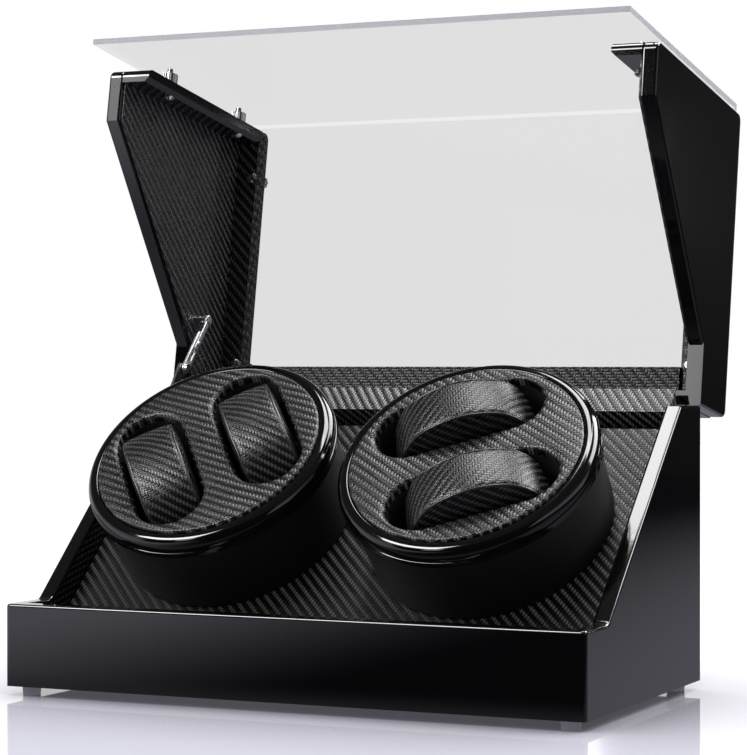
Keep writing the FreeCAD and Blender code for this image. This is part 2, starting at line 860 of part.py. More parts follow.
def mode_switches():
    cases = []
    for x in knob_places():
        half = "switch_size / 2"
        case = block(
            ("%s - %s" % (x, half), "%s + %s" % (x, half)),
            ("box_depth - panel - switch_depth - origin_y", "box_depth - panel - origin_y"),
            ("foot_height + control_z - " + half, "foot_height + control_z + " + half),
        )
        shaft = doc.addObject("Part::Cylinder", "shaft_hole")
        shaft.setExpression("Radius", bound("knob_shaft + running_fit"))
        shaft.setExpression("Height", bound("switch_depth"))
        place(shaft, x, "box_depth - panel", "foot_height + control_z", (("1; 0; 0", "90"),))
        cases.append(without(case, shaft))
    group("mode_switches", cases)


def control_board():
    piece = block(
        ("control_x - knob_pitch - circuit_margin", "control_x + knob_pitch + circuit_margin"),
        ("box_depth - panel - switch_depth - circuit_board - origin_y",
         "box_depth - panel - switch_depth - origin_y"),
        ("foot_height + control_z - switch_size", "foot_height + control_z + switch_size"),
    )
    node("control_board", piece)


def dc_inlet():
    body = new_body("dc_inlet")
    revolve(body, (
        ("0", "0 - panel - switch_depth"),
        ("inlet_radius", "0 - panel - switch_depth"),
        ("inlet_radius", "0"),
        ("inlet_flange", "0"),
        ("inlet_flange", "inlet_flange_depth"),
        ("inlet_bore", "inlet_flange_depth"),
        ("inlet_bore", "inlet_flange_depth - inlet_bore_depth"),
        ("inlet_pin", "inlet_flange_depth - inlet_bore_depth"),
        ("inlet_pin", "0"),
        ("0", "0"),
    ))
    place(body, "control_x - knob_pitch", "box_depth", "foot_height + control_z", (("1; 0; 0", "0 - 90"),))


# Lid, built shut about the hinge line and placed open

def lid_cheek(name, side):
    body = new_body("lid_%s_cheek" % name)
    sketch = new_sketch(body, "YZ_Plane")
    polygon(sketch, (
        ("lid_front", "lid_chin"),
        ("lid_slope_front", "lid_chin"),
        ("lid_slope_back", "lid_under"),
        ("0", "lid_under"),
        ("0", "lid_top"),
        ("lid_front", "lid_top"),
    ))
    pad(body, sketch, "panel", back=side > 0)
    round_edges(body, "lid_corner_round", on_lid_corner)
    round_edges(body, "chin_round", on_lid_chin)
    flat = (0, -side * value("panel"))
    back = value("lid_under")

    def on_rim(edge):
        whole = any(lies_at(edge, x=x) for x in flat)
        return whole and not lies_at(edge, y=0) and not lies_at(edge, z=back)

    round_edges(body, "edge_round", on_rim)
    on_lid(body, "%d * half_width" % side)


def on_lid_corner(edge):
    # the long corners of the lid's outline at the top, front and back
    return any(lies_at(edge, y=y, z=value("lid_top")) for y in (0, value("lid_front")))


def on_lid_chin(edge):
    # the lid's lowest corner at the front
    return lies_at(edge, y=value("lid_front"), z=value("lid_chin"))


def cheek_lining(name, side):
    body = new_body("%s_cheek_lining" % name)
    sketch = new_sketch(body, "YZ_Plane")
    inset = "lining_inset"
    rise = "lining_inset / cos(slope_angle)"
    front = "lid_front + flange_board"
    polygon(sketch, (
        (front, "lid_chin + " + inset),
        ("lid_slope_front", "lid_chin + " + inset),
        ("lid_slope_back", "lid_under + " + rise),
        ("0 - lid_back", "lid_under + " + rise),
        ("0 - lid_back", "lid_top - flange_board"),
        (front, "lid_top - flange_board"),
    ))
    pad(body, sketch, "lining", back=side > 0)
    on_lid(body, "%d * inner_half" % side)


def screw_spots():
    # places of the pane screws along the lid's front and top, in its own Y and Z
    front = [("lid_front", "lid_chin + " + up) for up in ("front_screw_low", "front_screw_high")]
    top = [("lid_front + " + back, "lid_top") for back in ("top_screw_front", "top_screw_rear")]
    return front, top


def top_flange(name, side):
    body = new_body("%s_top_flange" % name)
    sketch = new_sketch(body, "XZ_Plane")
    flange_section(sketch, side, "lid_top", "lid_top - flange_board")
    # the sketch's normal points to -Y
    move_sketch(sketch, "lid_back")
    pad(body, sketch, "0 - lid_front - lid_back")
    round_edges(body, "lid_corner_round", on_lid_corner)
    holes = new_sketch(body, "XY_Plane")
    for along, _ in screw_spots()[1]:
        circle(holes, ("%d * screw_x" % side, along), "screw_shank + screw_play")
    pocket(body, holes)
    on_lid(body)


def front_flange(name, side):
    body = new_body("%s_front_flange" % name)
    sketch = new_sketch(body, "XY_Plane")
    flange_section(sketch, side, "lid_front", "lid_front + flange_board")
    move_sketch(sketch, "lid_chin")
    pad(body, sketch, "lid_top - flange_board - lid_chin")
    round_edges(body, "chin_round", on_lid_chin)
    holes = new_sketch(body, "XZ_Plane")
    for _, up in screw_spots()[0]:
        circle(holes, ("%d * screw_x" % side, up), "screw_shank + screw_play")
    pocket(body, holes)
    on_lid(body)


def flange_section(sketch, side, outer, inner):
    # a strip with a bevel along its free inner edge
    bevel = "%s + (%s - (%s)) * flange_bevel / flange_board" % (inner, outer, inner)
    end = "%d * flange_end" % side
    polygon(sketch, (
        ("%d * inner_half" % side, outer),
        (end, outer),
        (end, bevel),
        ("%s + %d * flange_bevel" % (end, side), inner),
        ("%d * inner_half" % side, inner),
    ))


def lid_back_panel():
    body = new_body("lid_back_panel")
    sketch = new_sketch(body, "YZ_Plane")
    rectangle(sketch, ("0 - lid_back", "lid_under"), ("0", "lid_top"))
    pad(body, sketch, "2 * inner_half", middle=True)
    seats = new_sketch(body, "YZ_Plane")
    polygon(seats, (
        ("0 - leaf_width", "lid_under + leaf"),
        ("0 - knuckle_radius - knuckle_relief", "lid_under + leaf"),
        ("0 - knuckle_radius - knuckle_relief", "knuckle_radius + knuckle_relief"),
        ("1", "knuckle_radius + knuckle_relief"),
        ("1", "lid_under - 1"),
        ("0 - leaf_width", "lid_under - 1"),
    ))
    cut_hinge_seats(body, seats)
    on_lid(body)


def lid_rear_rail():
    body = new_body("lid_rear_rail")
    sketch = new_sketch(body, "YZ_Plane")
    rectangle(sketch, ("0 - lid_back - rail_width", "lid_top - flange_board"), ("0 - lid_back", "lid_top"))
    pad(body, sketch, "2 * flange_end", middle=True)
    on_lid(body)


def top_pane():
    body = new_body("top_pane")
    sketch = new_sketch(body, "XY_Plane")
    rectangle(sketch, ("0 - pane_width / 2", "front_pane_in"), ("pane_width / 2", "0 - pane_back"))
    move_sketch(sketch, "top_pane_in")
    pad(body, sketch, "pane")
    holes = new_sketch(body, "XY_Plane")
    for along, _ in screw_spots()[1]:
        for side in (-1, 1):
            circle(holes, ("%d * screw_x" % side, along), "screw_shank + screw_play")
    pocket(body, holes)
    on_lid(body)


def front_pane():
    body = new_body("front_pane")
    sketch = new_sketch(body, "XZ_Plane")
    rectangle(sketch, ("0 - pane_width / 2", "pane_low"), ("pane_width / 2", "top_pane_out"))
    # the sketch's normal points to -Y
    move_sketch(sketch, "0 - front_pane_in")
    pad(body, sketch, "pane")
    holes = new_sketch(body, "XZ_Plane")
    for _, up in screw_spots()[0]:
        for side in (-1, 1):
            circle(holes, ("%d * screw_x" % side, up), "screw_shank + screw_play")
    pocket(body, holes)
    on_lid(body)


def turned(profile):
    # a solid turned about Z from a closed outline of radius and height
    spots = [FreeCAD.Vector(value(radius), 0, value(height)) for radius, height in profile]
    face = Part.Face(Part.makePolygon(spots + spots[:1]))
    return face.revolve(FreeCAD.Vector(), FreeCAD.Vector(0, 0, 1), 360)


def pane_fixings(label, profile):
    # copies of one turned shape at every pane screw, its height counted out from the flange
    shape = turned(profile)
    front, top = screw_spots()
    copies = []
    for spots, tilt in ((front, 90), (top, 0)):
        turn = FreeCAD.Rotation(FreeCAD.Vector(1, 0, 0), tilt)
        for along, up in spots:
            for side in (-1, 1):
                spot = FreeCAD.Vector(side * value("screw_x"), value(along), value(up))
                copy = shape.copy()
                copy.Placement = FreeCAD.Placement(spot, turn)
                copies.append(copy)
    piece = node(label, doc.addObject("Part::Feature", label))
    piece.Shape = Part.makeCompound(copies)
    on_lid(piece)


def pane_screws():
    inner = "0 - flange_board"
    outer = "pane_standoff + pane"
    pane_fixings("pane_screws", (
        ("0", inner + " - screw_head_height"),
        ("screw_head * 0.7", inner + " - screw_head_height"),
        ("screw_head", inner + " - screw_head_height / 2"),
        ("screw_head", inner),
        ("screw_shank", inner),
        ("screw_shank", outer),
        ("screw_head", outer),
        ("screw_head", outer + " + screw_head_height / 2"),
        ("screw_head * 0.7", outer + " + screw_head_height"),
        ("0", outer + " + screw_head_height"),
    ))


def pane_spacers():
    bore = "screw_shank + screw_play"
    pane_fixings("pane_spacers", (
        (bore, "0"),
        ("spacer_radius", "0"),
        ("spacer_radius", "pane_standoff"),
        (bore, "pane_standoff"),
    ))


# Hinges: three knuckles each, the outer two on the base and the middle one on the lid

def hinge_spans(centre):
    low = "%s - hinge_length / 2" % centre
    high = "%s + hinge_length / 2" % centre
    ends = ((low, low + " + knuckle_end"), (high + " - knuckle_end", high))
    middle = (low + " + knuckle_end + knuckle_gap", high + " - knuckle_end - knuckle_gap")
    return (low, high), ends, middle


def hinge_leaf(centre, spans, freed, leaf_z, bore):
    whole = hinge_spans(centre)[0]
    knuckles = [rod_x("knuckle_radius", low, high) for low, high in spans]
    leaf = block(whole, ("0 - leaf_width", "0"), leaf_z)
    for low, high in freed:
        room = "knuckle_radius + knuckle_relief"
        leaf = without(leaf, rod_x(room, low + " - knuckle_gap", high + " + knuckle_gap"))
    return without(joined([leaf] + knuckles), rod_x(bore, whole[0], whole[1]))


def hinges():
    base, lid, pins = [], [], []
    for side in (-1, 1):
        centre = "%d * hinge_spacing / 2" % side
        whole, ends, middle = hinge_spans(centre)
        under = ("0 - lid_under - leaf", "0 - lid_under")
        over = ("lid_under", "lid_under + leaf")
        base.append(hinge_leaf(centre, ends, (middle,), under, "hinge_pin"))
        lid.append(hinge_leaf(centre, (middle,), ends, over, "hinge_pin + running_fit"))
        pins.append(rod_x("hinge_pin", whole[0], whole[1]))
    for label, pieces in (("hinge_base_leaves", base), ("hinge_pins", pins)):
        place(group(label, pieces), "0", "hinge_y", "hinge_z")
    on_lid(group("hinge_lid_leaves", lid))


# Lid stay on the left: a bar on a bracket of the base, whose upper end meets a stud of the lid

def stay_bracket():
    # a flat plate in Y and Z that climbs from its foot on the side panel to the bar's pivot
    body = new_body("stay_bracket")
    foot_z = "deck_z + (stay_foot_y - deck_y) * tan(slope_angle) + stay_foot_low / cos(slope_angle)"
    end_y = "stay_foot_y + stay_foot_length * cos(slope_angle)"
    end_z = foot_z + " + stay_foot_length * sin(slope_angle)"
    lean_y = " - stay_foot_height * sin(slope_angle)"
    lean_z = " + stay_foot_height * cos(slope_angle)"
    low = ("stay_foot_y", foot_z)
    end = (end_y, end_z)
    end_top = (end_y + lean_y, end_z + lean_z)
    low_top = ("stay_foot_y" + lean_y, foot_z + lean_z)
    eye = "stay_bar_half"
    plate = new_sketch(body, "YZ_Plane")
    polygon(plate, (
        low,
        end,
        end_top,
        ("stay_y + " + eye, "stay_z - " + eye),
        ("stay_y + " + eye, "stay_z + " + eye),
        ("stay_y - " + eye, "stay_z + " + eye),
        low_top,
    ))
    pad(body, plate, "stay_plate", back=True)
    foot = new_sketch(body, "YZ_Plane")
    polygon(foot, (low, end, end_top, low_top))
    pad(body, foot, "inner_half - stay_x - stay_bar - stay_gap", back=True)
    rivet = new_sketch(body, "YZ_Plane")
    circle(rivet, ("stay_y", "stay_z"), "stay_rivet")
    pad(body, rivet, "stay_gap + stay_bar + stay_gap")
    head = new_sketch(body, "YZ_Plane")
    circle(head, ("stay_y", "stay_z"), "stay_rivet_head")
    move_sketch(head, "stay_bar + 2 * stay_gap")
    pad(body, head, "stay_rivet_height")
    place(body, "0 - stay_x - stay_bar - stay_gap", "0", "0")


def stay_arm():
    # a bar with round ends along its own Y, turned up to the lid's stud
    body = new_body("stay_arm")
    bar = new_sketch(body, "YZ_Plane")
    capsule(bar, "stay_length", "stay_bar_half")
    pad(body, bar, "stay_bar", back=True)
    hole = new_sketch(body, "YZ_Plane")
    circle(hole, ("0", "0"), "stay_rivet + running_fit")
    pocket(body, hole)
    cap = new_sketch(body, "YZ_Plane")
    circle(cap, ("stay_length", "0"), "stay_rivet_head")
    pad(body, cap, "stay_rivet_height")
    place(body, "0 - stay_x", "stay_y", "stay_z", (("1; 0; 0", "stay_lean"),))


def capsule(sketch, length, radius):
    # a bar outline with round ends about (0, 0) and (length, 0)
    arcs = []
    for centre, start in (("0", math.pi / 2), (length, -math.pi / 2)):
        spot = FreeCAD.Vector(value(centre), 0, 0)
        ring = Part.Circle(spot, FreeCAD.Vector(0, 0, 1), value(radius))
        arc = sketch.addGeometry(Part.ArcOfCircle(ring, start, start + math.pi), False)
        pin_point(sketch, arc, 3, (centre, "0"))
        arcs.append(arc)
    close_slot(sketch, arcs, radius)


def stay_stud():
    turn = "(stay_stud_angle + lid_open)"
    y = "stay_stud_out * cos(%s)" % turn
    z = "stay_stud_out * sin(%s)" % turn
    stud = rod_x("stay_rivet_head", "lining - inner_half", "0 - stay_x - stay_bar - stay_gap", y, z)
    on_lid(group("stay_stud", [stud]))


# Assembly

def build():
    fill_sheet()
    base_bottom_board()
    front_panel()
    back_panel()
    rubber_feet()
    drum_deck()
    rear_strip()
    mode_switches()
    control_board()
    dc_inlet()
    lid_back_panel()
    lid_rear_rail()
    top_pane()
    front_pane()
    pane_screws()
    pane_spacers()
    hinges()
    stay_bracket()
    stay_arm()
    stay_stud()
    for name, side, knob in (("left", -1, "control_x"), ("right", 1, "control_x + knob_pitch")):
        x = "%d * drum_x" % side
        turn = name + "_turn"
        side_panel(name, side)
        drum_shell(name, x, turn)
        drum_rim(name, x, turn)
        drum_face(name, x, turn)
        pocket_tray(name, x, turn)
        for mark, centre in zip("ab", pocket_centres()):
            cushion("%s_cushion_%s" % (name, mark), x, turn, centre)
        shaft_bush(name, x)
        drum_shaft(name, x)
        drum_gear(name, x)
        drive_pinion(name, x, side)
        motor_bracket(name, x, side)
        gear_motor(name, x, side)
        mode_knob(name, knob)
        lid_cheek(name, side)
        cheek_lining(name, side)
        top_flange(name, side)
        front_flange(name, side)
    doc.recompute()


def check():
    for item in doc.Objects:
        if "Invalid" in item.State or "Error" in item.State:
            raise RuntimeError("%s failed: %s" % (item.Label, item.State))
    for piece in nodes:
        if piece.Shape.isNull() or not piece.Shape.isValid():
            raise RuntimeError(piece.Label + " has no valid shape")


def write():
    os.makedirs("parts", exist_ok=True)
    for piece in nodes:
        piece.Shape.exportStep("parts/%s.step" % piece.Label)
    print("%d pieces" % len(nodes))


def print_joints():
    # joint places and axes in metres, in the part's own frame
    def metres(x, y, z):
        return [round(value(text) / 1000, 6) for text in (x, y, z)]
    print("deck normal", [0, round(-value("sin(slope_angle)"), 6), round(value("cos(slope_angle)"), 6)])
    print("hinge", metres("0", "hinge_y - origin_y", "hinge_z"))
    print("drum", metres("drum_x", "deck_y - origin_y", "deck_z"))
    print("pinion", metres("drum_x - gear_centres", "deck_y - origin_y", "deck_z"))
    print("stay", metres("0 - stay_x", "stay_y - origin_y", "stay_z"))
    print("knob", metres("control_x", "box_depth - origin_y", "foot_height + control_z"))
    print("foot", metres("half_width - foot_inset", "foot_inset_y - origin_y", "0"))
    shut = math.radians(value("stay_stud_angle + lid_open"))
    rise = value("hinge_z - stay_z") + value("stay_stud_out") * math.sin(shut)
    run = value("hinge_y - stay_y") + value("stay_stud_out") * math.cos(shut)
    turn = (math.degrees(math.atan2(rise, run)) - value("stay_lean")) % 360
    print("stay turns", round(turn, 4), "ratio", round(turn / value("lid_open"), 5))


build()
check()
write()
print_joints()
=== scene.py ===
import json
import math

import bmesh
import bpy
from mathutils import Matrix, Vector
from mathutils.bvhtree import BVHTree


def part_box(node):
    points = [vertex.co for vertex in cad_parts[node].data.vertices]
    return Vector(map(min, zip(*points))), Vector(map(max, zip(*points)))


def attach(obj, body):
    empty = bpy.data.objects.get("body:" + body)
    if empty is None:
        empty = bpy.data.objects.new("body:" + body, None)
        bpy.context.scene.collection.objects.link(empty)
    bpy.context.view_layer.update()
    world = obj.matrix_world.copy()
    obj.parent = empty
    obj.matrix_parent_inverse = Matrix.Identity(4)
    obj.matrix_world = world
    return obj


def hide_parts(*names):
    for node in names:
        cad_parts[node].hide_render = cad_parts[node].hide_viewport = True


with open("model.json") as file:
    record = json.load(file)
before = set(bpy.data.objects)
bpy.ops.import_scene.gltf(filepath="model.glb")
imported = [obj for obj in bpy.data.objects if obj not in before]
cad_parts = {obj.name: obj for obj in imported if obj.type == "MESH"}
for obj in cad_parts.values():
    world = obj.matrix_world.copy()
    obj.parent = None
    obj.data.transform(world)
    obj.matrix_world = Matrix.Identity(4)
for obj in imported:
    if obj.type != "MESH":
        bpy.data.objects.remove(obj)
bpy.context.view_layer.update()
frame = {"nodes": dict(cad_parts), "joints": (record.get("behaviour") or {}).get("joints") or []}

nodes = frame["nodes"]
joints = {joint["name"]: joint for joint in frame["joints"]}
scene = bpy.context.scene
scene.view_settings.view_transform = "Standard"

deckNormal = Vector(joints["left_drum_spin"]["axis"])
deckSide = Vector((1, 0, 0))
deckUp = deckNormal.cross(deckSide)
drums = {
    "left": {"centre": Vector(joints["left_drum_spin"]["pos_m"]), "turn": 34.8},
    "right": {"centre": Vector(joints["right_drum_spin"]["pos_m"]), "turn": 113.7},
}
print("frame loaded:", len(nodes), "nodes")


# node helpers

noiseRough = 0.55


def wire(tree, source, target):
    tree.links.new(source, target)


def feed(tree, term, socket):  # an output is wired, a number or a colour is set
    if isinstance(term, bpy.types.NodeSocket):
        wire(tree, term, socket)
    else:
        socket.default_value = (*term, 1) if isinstance(term, tuple) else term


def step(tree, kind, **inputs):
    made = tree.nodes.new(kind)
    for label, term in inputs.items():
        feed(tree, term, made.inputs[label.replace("_", " ")])
    return made


def calc(tree, operation, *terms):
    made = tree.nodes.new("ShaderNodeMath")
    made.operation = operation
    for socket, term in zip(made.inputs, terms):
        feed(tree, term, socket)
    return made.outputs[0]


def mixed(tree, share, first, second):
    made = tree.nodes.new("ShaderNodeMix")
    wire(tree, share, made.inputs["Factor"])
    feed(tree, first, made.inputs[2])
    feed(tree, second, made.inputs[3])
    return made.outputs[0]


def blendColour(tree, share, first, second, blend="MIX"):
    made = tree.nodes.new("ShaderNodeMix")
    made.data_type = "RGBA"
    made.blend_type = blend
    feed(tree, share, made.inputs["Factor"])
    feed(tree, first, made.inputs[6])
    feed(tree, second, made.inputs[7])
    return made.outputs[2]


def ranged(tree, source, low, high):
    made = step(tree, "ShaderNodeMapRange", Value=source, To_Min=low, To_Max=high)
    return made.outputs["Result"]


def smoothRange(tree, source, start, end, first, last):
    made = step(tree, "ShaderNodeMapRange", Value=source, From_Min=start, From_Max=end, To_Min=first, To_Max=last)
    made.interpolation_type = "SMOOTHSTEP"
    return made.outputs["Result"]


def objectPlace(tree):
    return tree.nodes.new("ShaderNodeTexCoord").outputs["Object"]


def parted(tree, source):
    return step(tree, "ShaderNodeSeparateXYZ", Vector=source).outputs


def vector(tree, x, y, z):
    return step(tree, "ShaderNodeCombineXYZ", X=x, Y=y, Z=z).outputs[0]


def flatPlace(tree):  # the two coordinates that lie in the face, whichever way it looks
    made = tree.nodes.new("ShaderNodeTexCoord")
    facing = parted(tree, made.outputs["Normal"])
    spot = parted(tree, made.outputs["Object"])
    reach = [calc(tree, "ABSOLUTE", facing[axis]) for axis in range(3)]
    sideways = calc(tree, "GREATER_THAN", reach[0], calc(tree, "MAXIMUM", reach[1], reach[2]))
    level = calc(tree, "GREATER_THAN", reach[2], calc(tree, "MAXIMUM", reach[0], reach[1]))
    across = mixed(tree, sideways, spot[0], spot[1])
    along = mixed(tree, level, spot[2], spot[1])
    return vector(tree, across, along, 0)


def noise(tree, place, scale, detail=4.0):
    made = step(tree, "ShaderNodeTexNoise", Vector=place, Scale=scale, Detail=detail, Roughness=noiseRough)
    return made.outputs["Fac"]


def bump(tree, shader, height, strength, depth):
    made = step(tree, "ShaderNodeBump", Strength=strength, Distance=depth, Height=height)
    wire(tree, made.outputs["Normal"], shader.inputs["Normal"])


def newFinish(name, **sockets):
    finish = bpy.data.materials.new(name)
    finish.use_nodes = True
    tree = finish.node_tree
    shader = tree.nodes["Principled BSDF"]
    for label, setting in sockets.items():
        feed(tree, setting, shader.inputs[label.replace("_", " ")])
    return finish, tree, shader


# twill weave: two over, two under, as steps along a diagonal

twill = {
    "repeat": 4.0,
    "overBelow": 1.5,  # steps 0 and 1 of the repeat lie on top
    "rounding": 0.6,
    "arching": 0.5,
    "strands": 8,
    "dark": (0.004, 0.004, 0.0044),
    "roughness": (0.32, 0.26),
    "swayScale": 26.0,
    "swayReach": 4,
    "grainScale": 900.0,
    "grainShare": (-0.02, 0.28),
    "patchScale": 34.0,
    "patchShare": (0.55, 1.35),
    "noiseDetail": 3.0,
    "hollowShade": 1.6,
    "fineRelief": 0.06,
    "bump": 0.45,
}


def makeWeaveGroup():
    tree = bpy.data.node_groups.new("twillWeave", "ShaderNodeTree")
    for label, kind in (("Place", "NodeSocketVector"), ("Pitch", "NodeSocketFloat")):
        tree.interface.new_socket(label, in_out="INPUT", socket_type=kind)
    for label in ("Over", "Height", "Fibre"):
        tree.interface.new_socket(label, in_out="OUTPUT", socket_type="NodeSocketFloat")
    entry = tree.nodes.new("NodeGroupInput")
    leave = tree.nodes.new("NodeGroupOutput")
    spot = parted(tree, entry.outputs["Place"])
    across = calc(tree, "DIVIDE", spot[0], entry.outputs["Pitch"])
    along = calc(tree, "DIVIDE", spot[1], entry.outputs["Pitch"])
    cell = calc(tree, "ADD", calc(tree, "FLOOR", across), calc(tree, "FLOOR", along))
    phase = calc(tree, "FLOORED_MODULO", cell, twill["repeat"])
    over = calc(tree, "LESS_THAN", phase, twill["overBelow"])
    inAcross = calc(tree, "FRACT", across)
    inAlong = calc(tree, "FRACT", along)

    def tow(side, run, start):
        section = calc(tree, "SINE", calc(tree, "MULTIPLY", side, math.pi))
        passed = calc(tree, "ADD", calc(tree, "SUBTRACT", phase, start), run)
        rise = calc(tree, "SINE", calc(tree, "MULTIPLY", passed, math.pi / 2))
        arch = calc(tree, "POWER", calc(tree, "MAXIMUM", rise, 0.0), twill["arching"])
        return calc(tree, "MULTIPLY", calc(tree, "POWER", section, twill["rounding"]), arch)

    def strand(side):
        return calc(tree, "SINE", calc(tree, "MULTIPLY", side, twill["strands"] * math.pi))

    def pick(first, second):
        return mixed(tree, over, second, first)

    wire(tree, over, leave.inputs["Over"])
    wire(tree, pick(tow(inAcross, inAlong, 0.0), tow(inAlong, inAcross, 2.0)), leave.inputs["Height"])
    wire(tree, pick(strand(inAcross), strand(inAlong)), leave.inputs["Fibre"])
    return tree


weaveGroup = makeWeaveGroup()


def twillPlace(tree, axes, attribute):
    if attribute:
        source = tree.nodes.new("ShaderNodeAttribute")
        source.attribute_name = attribute
        return source.outputs["Vector"]
    if axes is None:
        return flatPlace(tree)
    turn = Matrix((*axes, axes[0].cross(axes[1]))).to_euler("XYZ")
    return step(tree, "ShaderNodeMapping", Vector=objectPlace(tree), Rotation=turn).outputs["Vector"]


def twillFinish(name, pitch, pale, shine=0.35, axes=None, depth=0.00035, attribute=None, drift=0.15):
    finish, tree, shader = newFinish(name, Specular_IOR_Level=shine)
    # the lines wander a little, as on stretched leather
    sway = step(tree, "ShaderNodeTexNoise", Vector=objectPlace(tree), Scale=twill["swayScale"], Detail=0.0)
    wander = tree.nodes.new("ShaderNodeVectorMath")
    wander.operation = "MULTIPLY_ADD"
    wire(tree, sway.outputs["Color"], wander.inputs[0])
    wander.inputs[1].default_value = (drift * pitch * twill["swayReach"],) * 3
    wire(tree, twillPlace(tree, axes, attribute), wander.inputs[2])
    weave = tree.nodes.new("ShaderNodeGroup")
    weave.node_tree = weaveGroup
    wire(tree, wander.outputs[0], weave.inputs["Place"])
    weave.inputs["Pitch"].default_value = pitch
    over, height, fibre = (weave.outputs[label] for label in ("Over", "Height", "Fibre"))
    grain = noise(tree, objectPlace(tree), twill["grainScale"], twill["noiseDetail"])
    patches = noise(tree, objectPlace(tree), twill["patchScale"], twill["noiseDetail"])
    # the tone darkens where the weave's relief runs low, at the sides and ends of each tow: painted shade; grain
    # and patches add tone that differs at random
    shadeGrainAndPatches = calc(tree, "POWER", height, twill["hollowShade"])
    shadeGrainAndPatches = calc(tree, "ADD", shadeGrainAndPatches, ranged(tree, grain, *twill["grainShare"]))
    shadeGrainAndPatches = calc(tree, "MAXIMUM", shadeGrainAndPatches, 0.0)
    shadeGrainAndPatches = calc(tree, "MULTIPLY", shadeGrainAndPatches, ranged(tree, patches, *twill["patchShare"]))
    tone = blendColour(tree, over, twill["dark"], pale)
    wire(tree, blendColour(tree, 1.0, tone, shadeGrainAndPatches, "MULTIPLY"), shader.inputs["Base Color"])
    wire(tree, ranged(tree, over, *twill["roughness"]), shader.inputs["Roughness"])
    relief = calc(tree, "ADD", height, calc(tree, "MULTIPLY", fibre, twill["fineRelief"]))
    relief = calc(tree, "ADD", relief, calc(tree, "MULTIPLY", grain, twill["fineRelief"]))
    bump(tree, shader, relief, twill["bump"], depth)
    return finish


def turnedAxes(across, along, degrees):
    angle = math.radians(degrees)
    first = across * math.cos(angle) + along * math.sin(angle)
    return first, along * math.cos(angle) - across * math.sin(angle)


# finishes: a bump is given as strength and depth

surface = {
    "black": (0.002, 0.002, 0.0023),
    "rippleDetail": 2.0,
    "ripple": (0.02, 0.0002),
    "matteTones": (0.7, 1.25),
    "matteBump": (0.15, 0.0003),
    "metalTone": 0.86,
    "streakScale": 420.0,
    "metalBump": (0.04, 0.0001),
    "clearColour": (0.05, 0.03, 0.032),
    "clearShine": 0.04,
    "clearHaze": 9.0,
    "clearRoughness": (0.02, 0.06),
}


def toned(colour, share):
    return tuple(share * part for part in colour)


def polishedFinish(name, hazeScale, hazeDetail, low, high, rippleScale, **coat):
    finish, tree, shader = newFinish(name, Base_Color=surface["black"], **coat)
    place = objectPlace(tree)
    haze = noise(tree, place, hazeScale, hazeDetail)
    wire(tree, ranged(tree, haze, low, high), shader.inputs["Roughness"])
    bump(tree, shader, noise(tree, place, rippleScale, surface["rippleDetail"]), *surface["ripple"])
    return finish


def matteFinish(name, colour, low, high, grainScale):
    finish, tree, shader = newFinish(name)
    grain = noise(tree, objectPlace(tree), grainScale)
    dark, pale = (toned(colour, share) for share in surface["matteTones"])
    wire(tree, blendColour(tree, grain, dark, pale), shader.inputs["Base Color"])
    wire(tree, ranged(tree, grain, low, high), shader.inputs["Roughness"])
    bump(tree, shader, grain, *surface["matteBump"])
    return finish


def metalFinish(name, colour, low, high, brushed=1.0):
    finish, tree, shader = newFinish(name, Metallic=1.0)
    stretched = step(tree, "ShaderNodeMapping", Vector=objectPlace(tree), Scale=Vector((1.0, brushed, 1.0)))
    streak = noise(tree, stretched.outputs["Vector"], surface["streakScale"])
    tone = blendColour(tree, streak, toned(colour, surface["metalTone"]), colour)
    wire(tree, tone, shader.inputs["Base Color"])
    wire(tree, ranged(tree, streak, low, high), shader.inputs["Roughness"])
    bump(tree, shader, streak, *surface["metalBump"])
    return finish


def clearFinish(name, alpha):
    finish, tree, shader = newFinish(name, Base_Color=surface["clearColour"], Alpha=alpha,
                                     Specular_IOR_Level=surface["clearShine"])
    haze = noise(tree, objectPlace(tree), surface["clearHaze"])
    wire(tree, ranged(tree, haze, *surface["clearRoughness"]), shader.inputs["Roughness"])
    return finish


def clearOnBack(finish, alpha):  # an edge that is seen from inside the sheet hardly shows
    tree = finish.node_tree
    inside = tree.nodes.new("ShaderNodeNewGeometry").outputs["Backfacing"]
    wire(tree, ranged(tree, inside, 1.0, alpha), tree.nodes["Principled BSDF"].inputs["Alpha"])


finishes = {
    "lacquer": polishedFinish("pianoLacquer", 14.0, 5.0, 0.045, 0.085, 260.0,
                              Coat_Weight=0.25, Coat_Roughness=0.02),
    "gloss_black": polishedFinish("glossMoulding", 40.0, 3.0, 0.05, 0.11, 320.0),
    "matte_black": matteFinish("blackMoulding", (0.012, 0.012, 0.013), 0.45, 0.62, 700.0),
    "nylon": matteFinish("paleNylon", (0.62, 0.60, 0.55), 0.42, 0.55, 300.0),
    "zinc": metalFinish("zincPlate", (0.62, 0.63, 0.65), 0.28, 0.42),
    "steel": metalFinish("steelBar", (0.60, 0.60, 0.61), 0.22, 0.34, 0.1),
    "bronze": metalFinish("bronzeBush", (0.55, 0.34, 0.16), 0.32, 0.46),
    "chrome": metalFinish("chromePlate", (0.62, 0.62, 0.64), 0.10, 0.18),
    "clear": clearFinish("clearSheet", 0.142),
    "rubber": matteFinish("blackRubber", (0.015, 0.015, 0.015), 0.65, 0.82, 500.0),
    "circuit": matteFinish("boardGreen", (0.03, 0.13, 0.06), 0.32, 0.45, 260.0),
    # the deck's pale tone is set above the faces' to make up for its lower shine: partly its own tone, partly
    # painted sheen
    "twill_leather": twillFinish("deckTwill", 0.00165, (0.18, 0.175, 0.181), 0.24,
                                 (deckSide, deckUp), depth=0.0002),
    "lining_cloth": twillFinish("liningTwill", 0.0016, (0.10, 0.097, 0.1005)),
}
wallTwill = twillFinish("flangeTwill", 0.00165, (0.055, 0.0535, 0.0555))
